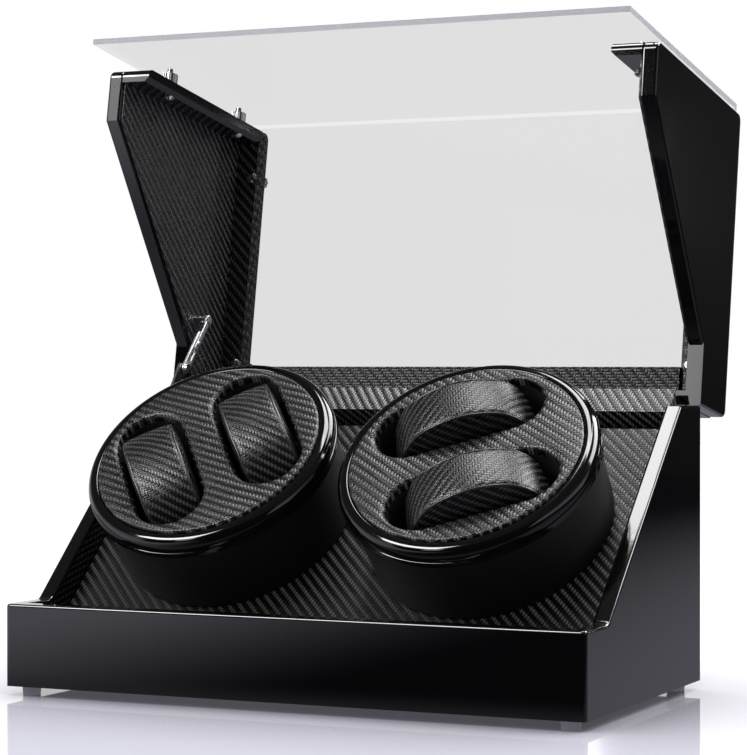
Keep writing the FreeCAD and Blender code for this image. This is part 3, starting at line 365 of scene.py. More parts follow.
# the strip's much paler tone stands in for the sheen of the light over it: painted highlight
stripTwillPaintedSheen = twillFinish("stripTwillPaintedSheen", 0.0014, (0.42, 0.41, 0.421), 0.48)
railTwill = twillFinish("panelTwill", 0.00165, (0.038, 0.037, 0.0385), 0.26)
faceTwills = {}
for side, shine, turn in (("left", 0.38, 29.0), ("right", 0.40, 12.0)):
    faceTwills[side] = twillFinish(side + "FaceTwill", 0.00165, (0.115, 0.1115, 0.116), shine,
                                   turnedAxes(deckSide, deckUp, turn), drift=0.25)
cushionTwill = twillFinish("cushionTwill", 0.0015, (0.10, 0.097, 0.101),
                           depth=0.00025, attribute="lay", drift=0.25)
cushionSide = twillFinish("cushionSideTwill", 0.0015, (0.035, 0.034, 0.0355),
                          attribute="lay", drift=0.25)
pipingLeather = matteFinish("pipingLeather", (0.016, 0.0155, 0.0165), 0.26, 0.36, 900.0)
satinShell = matteFinish("satinShell", (0.0025, 0.0025, 0.0028), 0.50, 0.62, 500.0)
footGrey = matteFinish("footGrey", (0.16, 0.16, 0.168), 0.25, 0.36, 400.0)
edgeCut = matteFinish("sawnEdge", (0.50, 0.485, 0.505), 0.55, 0.7, 900.0)
clearOnBack(edgeCut, 0.15)
clearJoint = clearFinish("clearJoint", 0.02)
stayMetal = metalFinish("stayPlate", (0.52, 0.52, 0.54), 0.28, 0.40)
byNode = {
    "rear_strip": stripTwillPaintedSheen,
    "left_top_flange": wallTwill,
    "right_top_flange": wallTwill,
    "lid_rear_rail": railTwill,
    "left_drum_shell": satinShell,
    "right_drum_shell": satinShell,
    "rubber_feet": footGrey,
}
for name, piece in nodes.items():
    for place in piece.material_slots:
        kind = place.material.name.split(".")[0]
        place.material = byNode.get(name, finishes.get(kind, place.material))
print("finishes on", len(nodes), "nodes")


# mesh helpers

weldGap = 1e-6


def newPiece(name, mesh, finish, body):
    piece = bpy.data.objects.new(name, mesh)
    scene.collection.objects.link(piece)
    mesh.materials.clear()
    mesh.materials.append(finish)
    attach(piece, body)
    return piece


def smooth(mesh):
    mesh.polygons.foreach_set("use_smooth", [True] * len(mesh.polygons))


def creased(mesh, degrees):
    smooth(mesh)
    mesh.set_sharp_from_angle(angle=math.radians(degrees))


def meshFrom(shell, name):
    mesh = bpy.data.meshes.new(name)
    shell.to_mesh(mesh)
    shell.free()
    return mesh


def settled(piece):  # its mesh with all modifiers applied
    return bpy.data.meshes.new_from_object(piece.evaluated_get(bpy.context.evaluated_depsgraph_get()))


def bridge(shell, ring, following):
    for index in range(len(ring)):
        after = (index + 1) % len(ring)
        shell.faces.new((ring[index], ring[after], following[after], following[index]))


def quarter(steps):
    return [math.pi / 2 * index / steps for index in range(steps + 1)]


def fullTurn(steps):
    return [2 * math.pi * index / steps for index in range(steps)]


def drumMatrix(side):
    tilt = Matrix((deckSide, deckUp, deckNormal)).transposed().to_4x4()
    turn = Matrix.Rotation(math.radians(drums[side]["turn"]), 4, "Z")
    return Matrix.Translation(drums[side]["centre"]) @ tilt @ turn


# cushions: arched pillows with piped sides

cushion = {
    "length": 0.080,
    "width": 0.032,
    "height": 0.0625,
    "seat": 0.0075,
    "offset": 0.0284,
    "footShare": 0.30,
    "shoulderShare": 0.36,
    "shoulderRise": 0.86,
    "bellyRise": 0.44,
    "steps": (10, 16, 24),  # points along the foot, an end and the crown
    "sides": ((1.0, 0.0016), (0.95, 0.0009), (0.85, 0.0006), (0.5, 0.0003)),  # share of half width, inset
    "slack": 0.0012,
    "voxel": 0.002,
    "pressure": 4.0,
    "frames": 20,
    "swell": 0.0014,
    "piping": 0.0008,
    "pipingInset": 0.0009,
    "seamInset": 0.0015,
    "seamRounds": 3,
    "layTurn": 95.0,
    "laySide": 0.8,  # beyond this the weave lies flat on the side
    "finishSide": 0.72,
}


def arcPoints(first, middle, last, count):
    a, b, c = (Vector((*spot, 0)) for spot in (first, middle, last))
    d = 2 * (a.x * (b.y - c.y) + b.x * (c.y - a.y) + c.x * (a.y - b.y))
    sq = [spot.length_squared for spot in (a, b, c)]
    centre = Vector((
        (sq[0] * (b.y - c.y) + sq[1] * (c.y - a.y) + sq[2] * (a.y - b.y)) / d,
        (sq[0] * (c.x - b.x) + sq[1] * (a.x - c.x) + sq[2] * (b.x - a.x)) / d, 0))
    start = a - centre
    turn = start.to_2d().angle_signed((c - centre).to_2d())
    half = start.to_2d().angle_signed((b - centre).to_2d())
    if turn * half < 0:
        turn -= math.copysign(2 * math.pi, turn)
    spots = []
    for index in range(count):
        angle = -turn * index / count
        spots.append((centre.x + start.x * math.cos(angle) - start.y * math.sin(angle),
                      centre.y + start.x * math.sin(angle) + start.y * math.cos(angle)))
    return spots


def cushionOutline(inset):
    length, height = cushion["length"], cushion["height"]
    foot, shoulder = cushion["footShare"] * length, cushion["shoulderShare"] * length
    high, middle = cushion["shoulderRise"] * height, cushion["bellyRise"] * height
    footSteps, endSteps, crownSteps = cushion["steps"]
    span = (length - 2 * inset) / length
    rise = (height - 2 * inset) / height
    spots = [(-foot + 2 * foot * index / footSteps, 0.0) for index in range(footSteps)]
    spots += arcPoints((foot, 0), (length / 2, middle), (shoulder, high), endSteps)
    spots += arcPoints((shoulder, high), (0, height), (-shoulder, high), crownSteps)
    spots += arcPoints((-shoulder, high), (-length / 2, middle), (-foot, 0), endSteps)
    return [(along * span, cushion["seat"] + inset + up * rise) for along, up in spots]


def cushionCore():
    half = cushion["width"] / 2 - cushion["slack"]
    stations = [(-across, inset) for across, inset in cushion["sides"]]
    stations += [(0, 0.0), *cushion["sides"][::-1]]
    core = bmesh.new()
    rings = []
    for across, inset in stations:
        outline = cushionOutline(inset + cushion["slack"])
        rings.append([core.verts.new((across * half, along, up)) for along, up in outline])
    for ring, following in zip(rings, rings[1:]):
        bridge(core, ring, following)
    core.faces.new(rings[0][::-1])
    core.faces.new(rings[-1])
    bmesh.ops.recalc_face_normals(core, faces=core.faces)
    return meshFrom(core, "cushionCore")


def swollenCushion():
    pad = bpy.data.objects.new("cushionPad", cushionCore())
    scene.collection.objects.link(pad)
    remesh = pad.modifiers.new("remesh", "REMESH")
    remesh.mode = "VOXEL"
    remesh.voxel_size = cushion["voxel"]
    pad.data = settled(pad)
    pad.modifiers.clear()
    start = [vert.co.copy() for vert in pad.data.vertices]
    cloth = pad.modifiers.new("cloth", "CLOTH")
    cloth.settings.use_pressure = True
    cloth.settings.uniform_pressure_force = cushion["pressure"]
    cloth.settings.effector_weights.gravity = 0
    cloth.point_cache.frame_start = 1
    cloth.point_cache.frame_end = cushion["frames"]
    for frameNumber in range(1, cushion["frames"] + 1):
        scene.frame_set(frameNumber)
    puffed = settled(pad)
    pad.modifiers.clear()
    pad.data = puffed
    scene.frame_set(1)
    for vert, first in zip(pad.data.vertices, start):
        shift = vert.co - first
        if shift.length > cushion["swell"]:
            shift *= cushion["swell"] / shift.length
        vert.co = first + shift
        vert.co.z = max(vert.co.z, cushion["seat"])
    finer = pad.modifiers.new("finer", "SUBSURF")
    finer.levels = finer.render_levels = 1
    mesh = settled(pad)
    bpy.data.objects.remove(pad)
    smooth(mesh)
    return mesh


def layWeave(mesh):  # the weave runs round the outline and across the width
    lengths, total = [0.0], 0.0
    outline = [Vector(spot) for spot in cushionOutline(0)]
    for first, second in zip(outline, outline[1:]):
        total += (second - first).length
        lengths.append(total)
    angle = math.radians(cushion["layTurn"])
    turn = Vector((math.cos(angle), math.sin(angle)))
    attribute = mesh.attributes.new("lay", "FLOAT_VECTOR", "POINT")
    for vert, value in zip(mesh.vertices, attribute.data):
        spot = Vector((vert.co.y, vert.co.z))
        best, run = math.inf, 0.0
        for index in range(len(outline) - 1):
            edge = outline[index + 1] - outline[index]
            share = max(0.0, min(1.0, (spot - outline[index]).dot(edge) / edge.length_squared))
            gap = (spot - outline[index] - edge * share).length_squared
            if gap < best:
                best, run = gap, lengths[index] + share * edge.length
        flat, up = run, vert.co.x
        if abs(vert.normal.x) > cushion["laySide"]:
            flat, up = vert.co.y, vert.co.z
        value.vector = (flat * turn.x - up * turn.y, flat * turn.y + up * turn.x, 0.0)


def tubeAlong(path, radius, sides=8):
    tube = bmesh.new()
    sideways = Vector((1, 0, 0))
    rings = []
    for index, spot in enumerate(path):
        ahead = (path[(index + 1) % len(path)] - path[index - 1]).normalized()
        out = ahead.cross(sideways).normalized()
        ways = [out * math.cos(angle) + sideways * math.sin(angle) for angle in fullTurn(sides)]
        rings.append([tube.verts.new(spot + way * radius) for way in ways])
    for ring, following in zip(rings, rings[1:] + rings[:1]):
        bridge(tube, ring, following)
    bmesh.ops.recalc_face_normals(tube, faces=tube.faces)
    return tube


def evened(path):
    count = len(path)
    return [(path[index - 1] + path[index] * 2 + path[(index + 1) % count]) / 4 for index in range(count)]


def pipingMesh(pad):
    corners = [vert.co for vert in pad.vertices]
    surfaceTree = BVHTree.FromPolygons(corners, [face.vertices for face in pad.polygons])
    both = bmesh.new()
    for sign in (-1, 1):
        across = sign * (cushion["width"] / 2 - cushion["pipingInset"])
        path = [surfaceTree.find_nearest(Vector((across, along, up)))[0]
                for along, up in cushionOutline(cushion["seamInset"])]
        for repeat in range(cushion["seamRounds"]):
            path = evened(path)
        for spot in path:
            spot.z = max(spot.z, cushion["seat"] + cushion["piping"])
        both.from_mesh(meshFrom(tubeAlong(path, cushion["piping"]), "piping"))
    mesh = meshFrom(both, "cushionPiping")
    smooth(mesh)
    return mesh


def makeCushions():
    pad = swollenCushion()
    layWeave(pad)
    piping = pipingMesh(pad)
    for side in drums:
        for letter, sign in (("a", 1), ("b", -1)):
            place = drumMatrix(side) @ Matrix.Translation((sign * cushion["offset"], 0, 0))
            body = side + "_pillow_" + letter
            label = side + "Cushion" + letter.upper()
            mesh = pad.copy()
            mesh.transform(place)
            piece = newPiece(label, mesh, cushionTwill, body)
            mesh.materials.append(cushionSide)
            across = (place.to_3x3() @ Vector((1, 0, 0))).normalized()
            for face in mesh.polygons:
                onSide = abs(face.normal.dot(across)) > cushion["finishSide"]
                face.material_index = 1 if onSide else 0
            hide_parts(side + "_cushion_" + letter)
            edge = piping.copy()
            edge.transform(place)
            newPiece(label + "Piping", edge, pipingLeather, body)
    print("cushions:", len(pad.polygons), "faces each")


makeCushions()


# drum faces: leather over a board, rolled into both pockets

drumFace = {
    "radius": 0.0631,
    "top": 0.0560,
    "low": 0.0511,
    "pocketLength": 0.092,
    "pocketWidth": 0.0374,
    "pocketOffset": 0.0284,
    "lip": 0.0028,
    "lipShare": 0.45,  # most of the leather between pocket and edge that a lip may take
    "edge": 0.0014,
    "ringSteps": 192,
    "slotSteps": 28,
    "rollSteps": 5,
    "crease": 50,
}


def slotOutline(middle):
    reach = (drumFace["pocketLength"] - drumFace["pocketWidth"]) / 2
    radius = drumFace["pocketWidth"] / 2
    spots = []
    for centre, start in ((reach, 0.0), (-reach, math.pi)):
        for index in range(drumFace["slotSteps"] + 1):
            angle = start + math.pi * index / drumFace["slotSteps"]
            out = Vector((math.cos(angle), math.sin(angle), 0))
            spots.append((Vector((middle, centre, 0)) + out * radius, out))
    return spots


def rolledEdge(shell, outline, roll):  # gives the edges of its top and of its foot
    rings = [[shell.verts.new((spot.x, spot.y, drumFace["low"])) for spot, out in outline]]
    for angle in quarter(drumFace["rollSteps"]):
        ring = []
        for (spot, out), radius in zip(outline, roll):
            height = drumFace["top"] - radius * (1 - math.sin(angle))
            inward = out * radius * (1 - math.cos(angle))
            ring.append(shell.verts.new(Vector((spot.x, spot.y, height)) + inward))
        rings.append(ring)
    for ring, following in zip(rings, rings[1:]):
        bridge(shell, ring, following)
    borders = []
    for ring in (rings[-1], rings[0]):
        borders.append([shell.edges.get(pair) for pair in zip(ring, ring[1:] + ring[:1])])
    return borders


def drumFaceMesh():
    shell = bmesh.new()
    tops, feet = [], []
    room = drumFace["radius"] - drumFace["edge"]
    borders = []
    for sign in (1, -1):
        outline = slotOutline(sign * drumFace["pocketOffset"])
        roll = [min(drumFace["lip"], drumFace["lipShare"] * (room - spot.length)) for spot, out in outline]
        borders.append((outline, roll))
    ways = [Vector((math.cos(angle), math.sin(angle), 0)) for angle in fullTurn(drumFace["ringSteps"])]
    borders.append(([(out * drumFace["radius"], -out) for out in ways], [drumFace["edge"]] * len(ways)))
    for outline, roll in borders:
        top, foot = rolledEdge(shell, outline, roll)
        tops += top
        feet += foot
    for border in (tops, feet):
        bmesh.ops.triangle_fill(shell, edges=border, use_beauty=True, use_dissolve=False)
    bmesh.ops.recalc_face_normals(shell, faces=shell.faces)
    return meshFrom(shell, "drumFace")


# drum rims: a turned bead that falls outwards to a lower band

drumRim = {
    "outer": 0.0706,
    "inner": 0.0636,
    "top": 0.0548,
    "low": 0.0420,
    "crest": 0.0655,  # where the bead starts to fall
    "shoulder": 0.0490,
    "corner": 0.0007,
    "cornerSteps": 4,
    "beadSteps": 16,
    "groove": 0.0007,
    "band": (  # drop below the shoulder, and whether the band is cut in there
        (0.0011, False), (0.0014, True), (0.0019, True), (0.0022, False), (0.0054, False), (0.0061, True)),
    "footInset": 0.0016,
    "turns": 192,
    "crease": 40,
}


def rimProfile():
    outer, inner, top, low = (drumRim[key] for key in ("outer", "inner", "top", "low"))
    crest, shoulder, corner = (drumRim[key] for key in ("crest", "shoulder", "corner"))
    spots = [(inner, low)]
    for angle in quarter(drumRim["cornerSteps"]):
        spots.append((inner + corner * (1 - math.cos(angle)), top - corner * (1 - math.sin(angle))))
    for angle in quarter(drumRim["beadSteps"]):
        spots.append((crest + (outer - crest) * math.sin(angle),
                      shoulder + (top - shoulder) * math.cos(angle)))
    for drop, cutIn in drumRim["band"]:
        spots.append((outer - drumRim["groove"] if cutIn else outer, shoulder - drop))
    spots.append((outer - drumRim["footInset"], low))
    return spots


def turnedMesh(name, profile, turns):
    shell = bmesh.new()
    rings = []
    for angle in fullTurn(turns):
        rings.append([shell.verts.new((radius * math.cos(angle), radius * math.sin(angle), height))
                      for radius, height in profile])
    for ring, following in zip(rings, rings[1:] + rings[:1]):
        for spot in range(len(profile)):
            after = (spot + 1) % len(profile)
            shell.faces.new((ring[spot], following[spot], following[after], ring[after]))
    bmesh.ops.recalc_face_normals(shell, faces=shell.faces)
    return meshFrom(shell, name)


def makeDrumTops():
    face = drumFaceMesh()
    creased(face, drumFace["crease"])
    rim = turnedMesh("drumRim", rimProfile(), drumRim["turns"])
    creased(rim, drumRim["crease"])
    for side in drums:
        for made, label, finish, slot, node in (
                (face, "DrumFaceLeather", faceTwills[side], "twill_leather", "_drum_face"),
                (rim, "DrumRimBead", finishes["gloss_black"], "gloss_black", "_drum_rim")):
            mesh = made.copy()
            mesh.transform(drumMatrix(side))
            piece = newPiece(side + label, mesh, finish, side + "_drum")
            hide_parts(side + node)
    print("drum faces and rims made")


makeDrumTops()


# panes: clear sheets with sawn edges

pane = {
    "flatAngle": 1,
    "facing": 0.9,
}
lidTurn = Matrix.Rotation(math.radians(joints["lid_hinge"]["range_deg"][0]), 3, "X")
outward = {"top_pane": lidTurn @ Vector((0, 0, 1)), "front_pane": lidTurn @ Vector((0, -1, 0))}


def makePanes():
    flatAngle = math.radians(pane["flatAngle"])
    for name, normal in outward.items():
        mesh = nodes[name].data.copy()
        solid = bmesh.new()
        solid.from_mesh(mesh)
        bmesh.ops.remove_doubles(solid, verts=solid.verts, dist=weldGap)
        bmesh.ops.dissolve_limit(solid, angle_limit=flatAngle, verts=solid.verts, edges=solid.edges)
        for face in solid.faces:
            face.smooth = False
        solid.to_mesh(mesh)
        solid.free()
        first, second = name.split("_")
        piece = newPiece(first + second.capitalize() + "Sheet", mesh, finishes["clear"], "lid")
        mesh.materials.append(edgeCut)
        mesh.materials.append(clearJoint)
        other = next(way for label, way in outward.items() if label != name)
        for face in mesh.polygons:  # sawn edges, but clear where the two sheets meet
            if abs(face.normal.dot(normal)) > pane["facing"]:
                face.material_index = 0
            else:
                face.material_index = 2 if face.normal.dot(other) > pane["facing"] else 1
        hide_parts(name)
    print("panes made")


makePanes()


# geometry trees

def newTree(name, settings):
    tree = bpy.data.node_groups.new(name, "GeometryNodeTree")
    tree.interface.new_socket("Geometry", in_out="INPUT", socket_type="NodeSocketGeometry")
    for label, setting in settings.items():
        kind = "NodeSocketMaterial" if isinstance(setting, bpy.types.Material) else "NodeSocketFloat"
        tree.interface.new_socket(label, in_out="INPUT", socket_type=kind)
    tree.interface.new_socket("Geometry", in_out="OUTPUT", socket_type="NodeSocketGeometry")
    return tree, tree.nodes.new("NodeGroupInput").outputs, tree.nodes.new("NodeGroupOutput")


def raised(tree, source, height):
    lift = vector(tree, 0, 0, height)
    return step(tree, "GeometryNodeTransform", Geometry=source, Translation=lift).outputs[0]


def joinedUp(tree, *sources):
    made = tree.nodes.new("GeometryNodeJoinGeometry")
    for source in sources:
        wire(tree, source, made.inputs[0])
    return made.outputs[0]


def setOnPoints(tree, entry, leave, shape):
    aim = tree.nodes.new("GeometryNodeInputNamedAttribute")
    aim.data_type = "FLOAT_VECTOR"
    aim.inputs["Name"].default_value = "aim"
    turn = step(tree, "FunctionNodeAlignRotationToVector", Vector=aim.outputs[0])
    turn.axis = "Z"
    copies = step(tree, "GeometryNodeInstanceOnPoints",
                  Points=entry["Geometry"], Instance=shape, Rotation=turn.outputs[0])
    plain = step(tree, "GeometryNodeRealizeInstances", Geometry=copies.outputs[0])
    painted = step(tree, "GeometryNodeSetMaterial", Geometry=plain.outputs[0], Material=entry["Finish"])
    wire(tree, painted.outputs[0], leave.inputs["Geometry"])


fixingCrease = 35


def grown(name, tree, settings, spots, body):
    mesh = bpy.data.meshes.new(name)
    mesh.from_pydata([place for place, aim in spots], [], [])
    aims = mesh.attributes.new("aim", "FLOAT_VECTOR", "POINT")
    for value, (place, aim) in zip(aims.data, spots):
        value.vector = aim
    seed = bpy.data.objects.new(name + "Seed", mesh)
    scene.collection.objects.link(seed)
    modifier = seed.modifiers.new("grow", "NODES")
    modifier.node_group = tree
    for item in tree.interface.items_tree:
        if item.in_out == "INPUT" and item.name in settings:
            modifier[item.identifier] = settings[item.name]
    made = settled(seed)
    bpy.data.objects.remove(seed)
    made.name = name
    creased(made, fixingCrease)
    return newPiece(name, made, settings["Finish"], body)


def looseParts(name):  # the separate solids of a CAD node, as lists of points
    solid = bmesh.new()
    solid.from_mesh(nodes[name].data)
    bmesh.ops.remove_doubles(solid, verts=solid.verts, dist=weldGap)
    parts, seen = [], set()
    for vert in solid.verts:
        stack, part = [] if vert in seen else [vert], []
        seen.update(stack)
        while stack:
            spot = stack.pop()
            part.append(spot.co.copy())
            fresh = [edge.other_vert(spot) for edge in spot.link_edges]
            fresh = [other for other in fresh if other not in seen]
            seen.update(fresh)
            stack += fresh
        if part:
            parts.append(part)
    solid.free()
    return parts


def turnedPlaces(name, axes):  # foot, axis and length of each turned solid of a node
    places = []
    for part in looseParts(name):
        spans = []
        for axis in axes:
            reach = [spot.dot(axis) for spot in part]
            spans.append((max(reach) - min(reach), axis, min(reach)))
        length, axis, low = max(spans, key=lambda span: span[0])
        middle = sum(part, Vector()) / len(part)
        places.append((middle + axis * (low - middle.dot(axis)), axis, length))
    return places


# pane screws: a cross-cut head inside the flange, the shank flush with the pane

paneScrew = {
    "Head Radius": 0.0035,
    "Head Height": 0.002,
    "Shank Radius": 0.0015,
    "Slot Width": 0.0009,
    "Finish": finishes["chrome"],
}
screwShape = {  # shares of the head's radius and height
    "domeRadius": 0.62,
    "slotLength": 1.15,
    "slotDepth": 0.8,
    "bandRise": 0.745,  # sinks a little into the dome
    "headSides": 32,
    "shankSides": 16,
}


def screwTree(settings):
    tree, entry, leave = newTree("paneScrew", settings)
    radius, height, width = entry["Head Radius"], entry["Head Height"], entry["Slot Width"]
    sides = screwShape["headSides"]
    half = calc(tree, "MULTIPLY", height, 0.5)
    reach = calc(tree, "SUBTRACT", entry["Length"], height)
    shank = step(tree, "GeometryNodeMeshCylinder", Vertices=screwShape["shankSides"],
                 Radius=entry["Shank Radius"], Depth=reach)
    shank = raised(tree, shank.outputs[0], calc(tree, "MULTIPLY", reach, 0.5))
    narrow = calc(tree, "MULTIPLY", radius, screwShape["domeRadius"])
    dome = step(tree, "GeometryNodeMeshCone", Vertices=sides,
                Radius_Bottom=narrow, Radius_Top=radius, Depth=half)
    band = step(tree, "GeometryNodeMeshCylinder", Vertices=sides, Radius=radius, Depth=half)
    band = raised(tree, band.outputs[0], calc(tree, "MULTIPLY", height, screwShape["bandRise"]))
    long = calc(tree, "MULTIPLY", radius, screwShape["slotLength"])
    deep = calc(tree, "MULTIPLY", height, screwShape["slotDepth"])
    cut = step(tree, "GeometryNodeMeshBoolean")
    cut.operation = "DIFFERENCE"
    wire(tree, dome.outputs[0], cut.inputs[0])
    for size in ((long, width), (width, long)):
        slot = step(tree, "GeometryNodeMeshCube", Size=vector(tree, *size, deep))
        wire(tree, slot.outputs[0], cut.inputs[1])
    head = joinedUp(tree, cut.outputs[0], band)
    setOnPoints(tree, entry, leave, joinedUp(tree, shank, head))
    return tree


# pane spacers: ribbed collars between flange and pane

paneSpacer = {
    "Radius": 0.0047,
    "Height": 0.006,
    "Ribs": 11.0,
    "Rib Depth": 0.0003,
    "Finish": finishes["chrome"],
}
spacerShape = {
    "foot": 0.0095,  # from a screw's inner end to the flange's outer face
    "sides": 88,
}


def spacerTree(settings):
    tree, entry, leave = newTree("paneSpacer", settings)
    inner = calc(tree, "SUBTRACT", entry["Radius"], entry["Rib Depth"])
    collar = step(tree, "GeometryNodeMeshCylinder", Vertices=spacerShape["sides"],
                  Radius=inner, Depth=entry["Height"])
    spot = parted(tree, tree.nodes.new("GeometryNodeInputPosition").outputs[0])
    angle = calc(tree, "ARCTAN2", spot[1], spot[0])
    wave = calc(tree, "COSINE", calc(tree, "MULTIPLY", angle, entry["Ribs"]))
    wave = calc(tree, "MULTIPLY", wave, entry["Rib Depth"])
    pushes = [calc(tree, "MULTIPLY", calc(tree, way, angle), wave) for way in ("COSINE", "SINE")]
    ribbed = step(tree, "GeometryNodeSetPosition", Geometry=collar.outputs[0], Offset=vector(tree, *pushes, 0))
    half = calc(tree, "MULTIPLY", entry["Height"], 0.5)
    setOnPoints(tree, entry, leave, raised(tree, ribbed.outputs[0], half))
    return tree


def makeFixings():
    screws = turnedPlaces("pane_screws", list(outward.values()))
    settings = dict(paneScrew, Length=screws[0][2])
    spots = [(foot, axis) for foot, axis, length in screws]
    piece = grown("paneScrews", screwTree(settings), settings, spots, "lid")
    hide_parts("pane_screws")
    spots = [(foot + axis * spacerShape["foot"], axis) for foot, axis in spots]
    piece = grown("paneSpacers", spacerTree(paneSpacer), paneSpacer, spots, "lid")
    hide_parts("pane_spacers")
    print("fixings:", len(screws), "screws and collars")


makeFixings()


# lid stay: a slotted lower plate and a narrow upper bar

lidStay = {
    "plate": 0.0016,
    "bar": 0.0010,
    "wide": 0.0032,
    "narrow": 0.0021,
    "slot": 0.0010,
    "plateEnd": 0.66,  # shares of the way from pivot to stud
    "slotFrom": 0.2,
    "slotTo": 0.56,
    "barFrom": 0.42,
    "rivetAt": 0.5,
    "rivet": 0.0026,
    "rivetRise": 0.0010,
    "smallRivet": 0.7,
    "smallRise": 0.0007,
    "round": 0.00045,
    "eyeGap": 1e-6,
    "levelGap": 1e-7,
    "crease": 35,
}


def capsuleLoop(start, end, half, steps=14):
    loop = []
    for centre, first in ((end, -math.pi / 2), (start, math.pi / 2)):
        for index in range(steps + 1):
            angle = first + math.pi * index / steps
            loop.append((centre + half * math.cos(angle), half * math.sin(angle)))
    return loop


def cutPlate(shell, outlines, low, high):  # each outline is start, end, half width and whether it is a hole
    corner = [(lidStay["round"] * (1 - math.sin(turn)), lidStay["round"] * (1 - math.cos(turn)))
              for turn in quarter(3)]
    levels = [(low + rise, inset) for inset, rise in corner]
    levels += [(high - rise, inset) for inset, rise in corner[::-1]]
    for start, end, half, hole in outlines:
        rings = []
        for level, inset in levels:
            loop = capsuleLoop(start, end, half + inset if hole else half - inset)
            rings.append([shell.verts.new((level, *spot)) for spot in (loop[::-1] if hole else loop)])
        for ring, following in zip(rings, rings[1:]):
            bridge(shell, ring, following)
    fresh = [edge for edge in shell.edges if len(edge.link_faces) == 1]
    for level in (low, high):
        rim = [edge for edge in fresh
               if all(abs(vert.co.x - level) < lidStay["levelGap"] for vert in edge.verts)]
        bmesh.ops.triangle_fill(shell, edges=rim, use_beauty=True)


def domeOn(shell, along, radius, low, height, levels=5, steps=20):
    rings = []
    for angle in quarter(levels)[:-1]:
        reach = radius * math.cos(angle)
        level = low + height * math.sin(angle)
        rings.append([shell.verts.new((level, along + reach * math.cos(turn), reach * math.sin(turn)))
                      for turn in fullTurn(steps)])
    for ring, following in zip(rings, rings[1:]):
        bridge(shell, ring, following)
    shell.faces.new(rings[-1])
    shell.faces.new(rings[0][::-1])


def makeStay():
    pivot = Vector(joints["stay_pivot"]["pos_m"])
    stud = sum(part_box("stay_stud"), Vector()) / 2
    run = Vector((0, stud.y - pivot.y, stud.z - pivot.z))
    length = run.length
    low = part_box("stay_arm")[0].x
    face = low + lidStay["plate"]
    top = face + lidStay["bar"]
    wide, narrow, slot = lidStay["wide"], lidStay["narrow"], lidStay["slot"]
    plateEnd, slotFrom, slotTo, barFrom, rivetAt = (
        length * lidStay[key] for key in ("plateEnd", "slotFrom", "slotTo", "barFrom", "rivetAt"))
    eye = length + lidStay["eyeGap"]
    parts = []
    for outlines, start, end in (
            (((0, plateEnd, wide, False), (slotFrom, slotTo, slot, True)), low, face),
            (((barFrom, length, narrow, False),), face, top),
            (((length, eye, wide, False), (length, eye, slot, True)), low, top)):
        part = bmesh.new()
        cutPlate(part, outlines, start, end)
        parts.append(part)
    rivets = bmesh.new()
    domeOn(rivets, 0, lidStay["rivet"], face, lidStay["rivetRise"])
    domeOn(rivets, rivetAt, lidStay["rivet"] * lidStay["smallRivet"], top, lidStay["smallRise"])
    parts.append(rivets)
    whole = bmesh.new()
    for part in parts:
        bmesh.ops.recalc_face_normals(part, faces=part.faces)
        whole.from_mesh(meshFrom(part, "stayPart"))
    mesh = meshFrom(whole, "stayBar")
    turn = Matrix.Rotation(math.atan2(run.z, run.y), 4, "X")
    mesh.transform(Matrix.Translation((0, pivot.y, pivot.z)) @ turn)
    creased(mesh, lidStay["crease"])
    piece = newPiece("stayBar", mesh, stayMetal, "stay")
    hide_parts("stay_arm")
    print("stay made")


makeStay()


# camera

view = {
    "eye": (0.5842, -1.277957, 0.1780),
    "yaw": 24.93,
    "pitch": 0.333,
    "focalPixels": 2529.0,
    "frameWidth": 747,
    "sensor": 36.0,
    "clipStart": 0.05,
}


def makeCamera():
    lens = bpy.data.cameras.new("camera")
    lens.sensor_fit = "HORIZONTAL"
    lens.sensor_width = view["sensor"]
    lens.lens = view["focalPixels"] * view["sensor"] / view["frameWidth"]
    lens.clip_start = view["clipStart"]
    camera = bpy.data.objects.new("camera", lens)
    scene.collection.objects.link(camera)
    camera.location = view["eye"]
    camera.rotation_euler = (math.radians(90 - view["pitch"]), 0, math.radians(view["yaw"]))
    scene.camera = camera


makeCamera()


# floor, cards and light: a fade is given as from, to, first level and last level

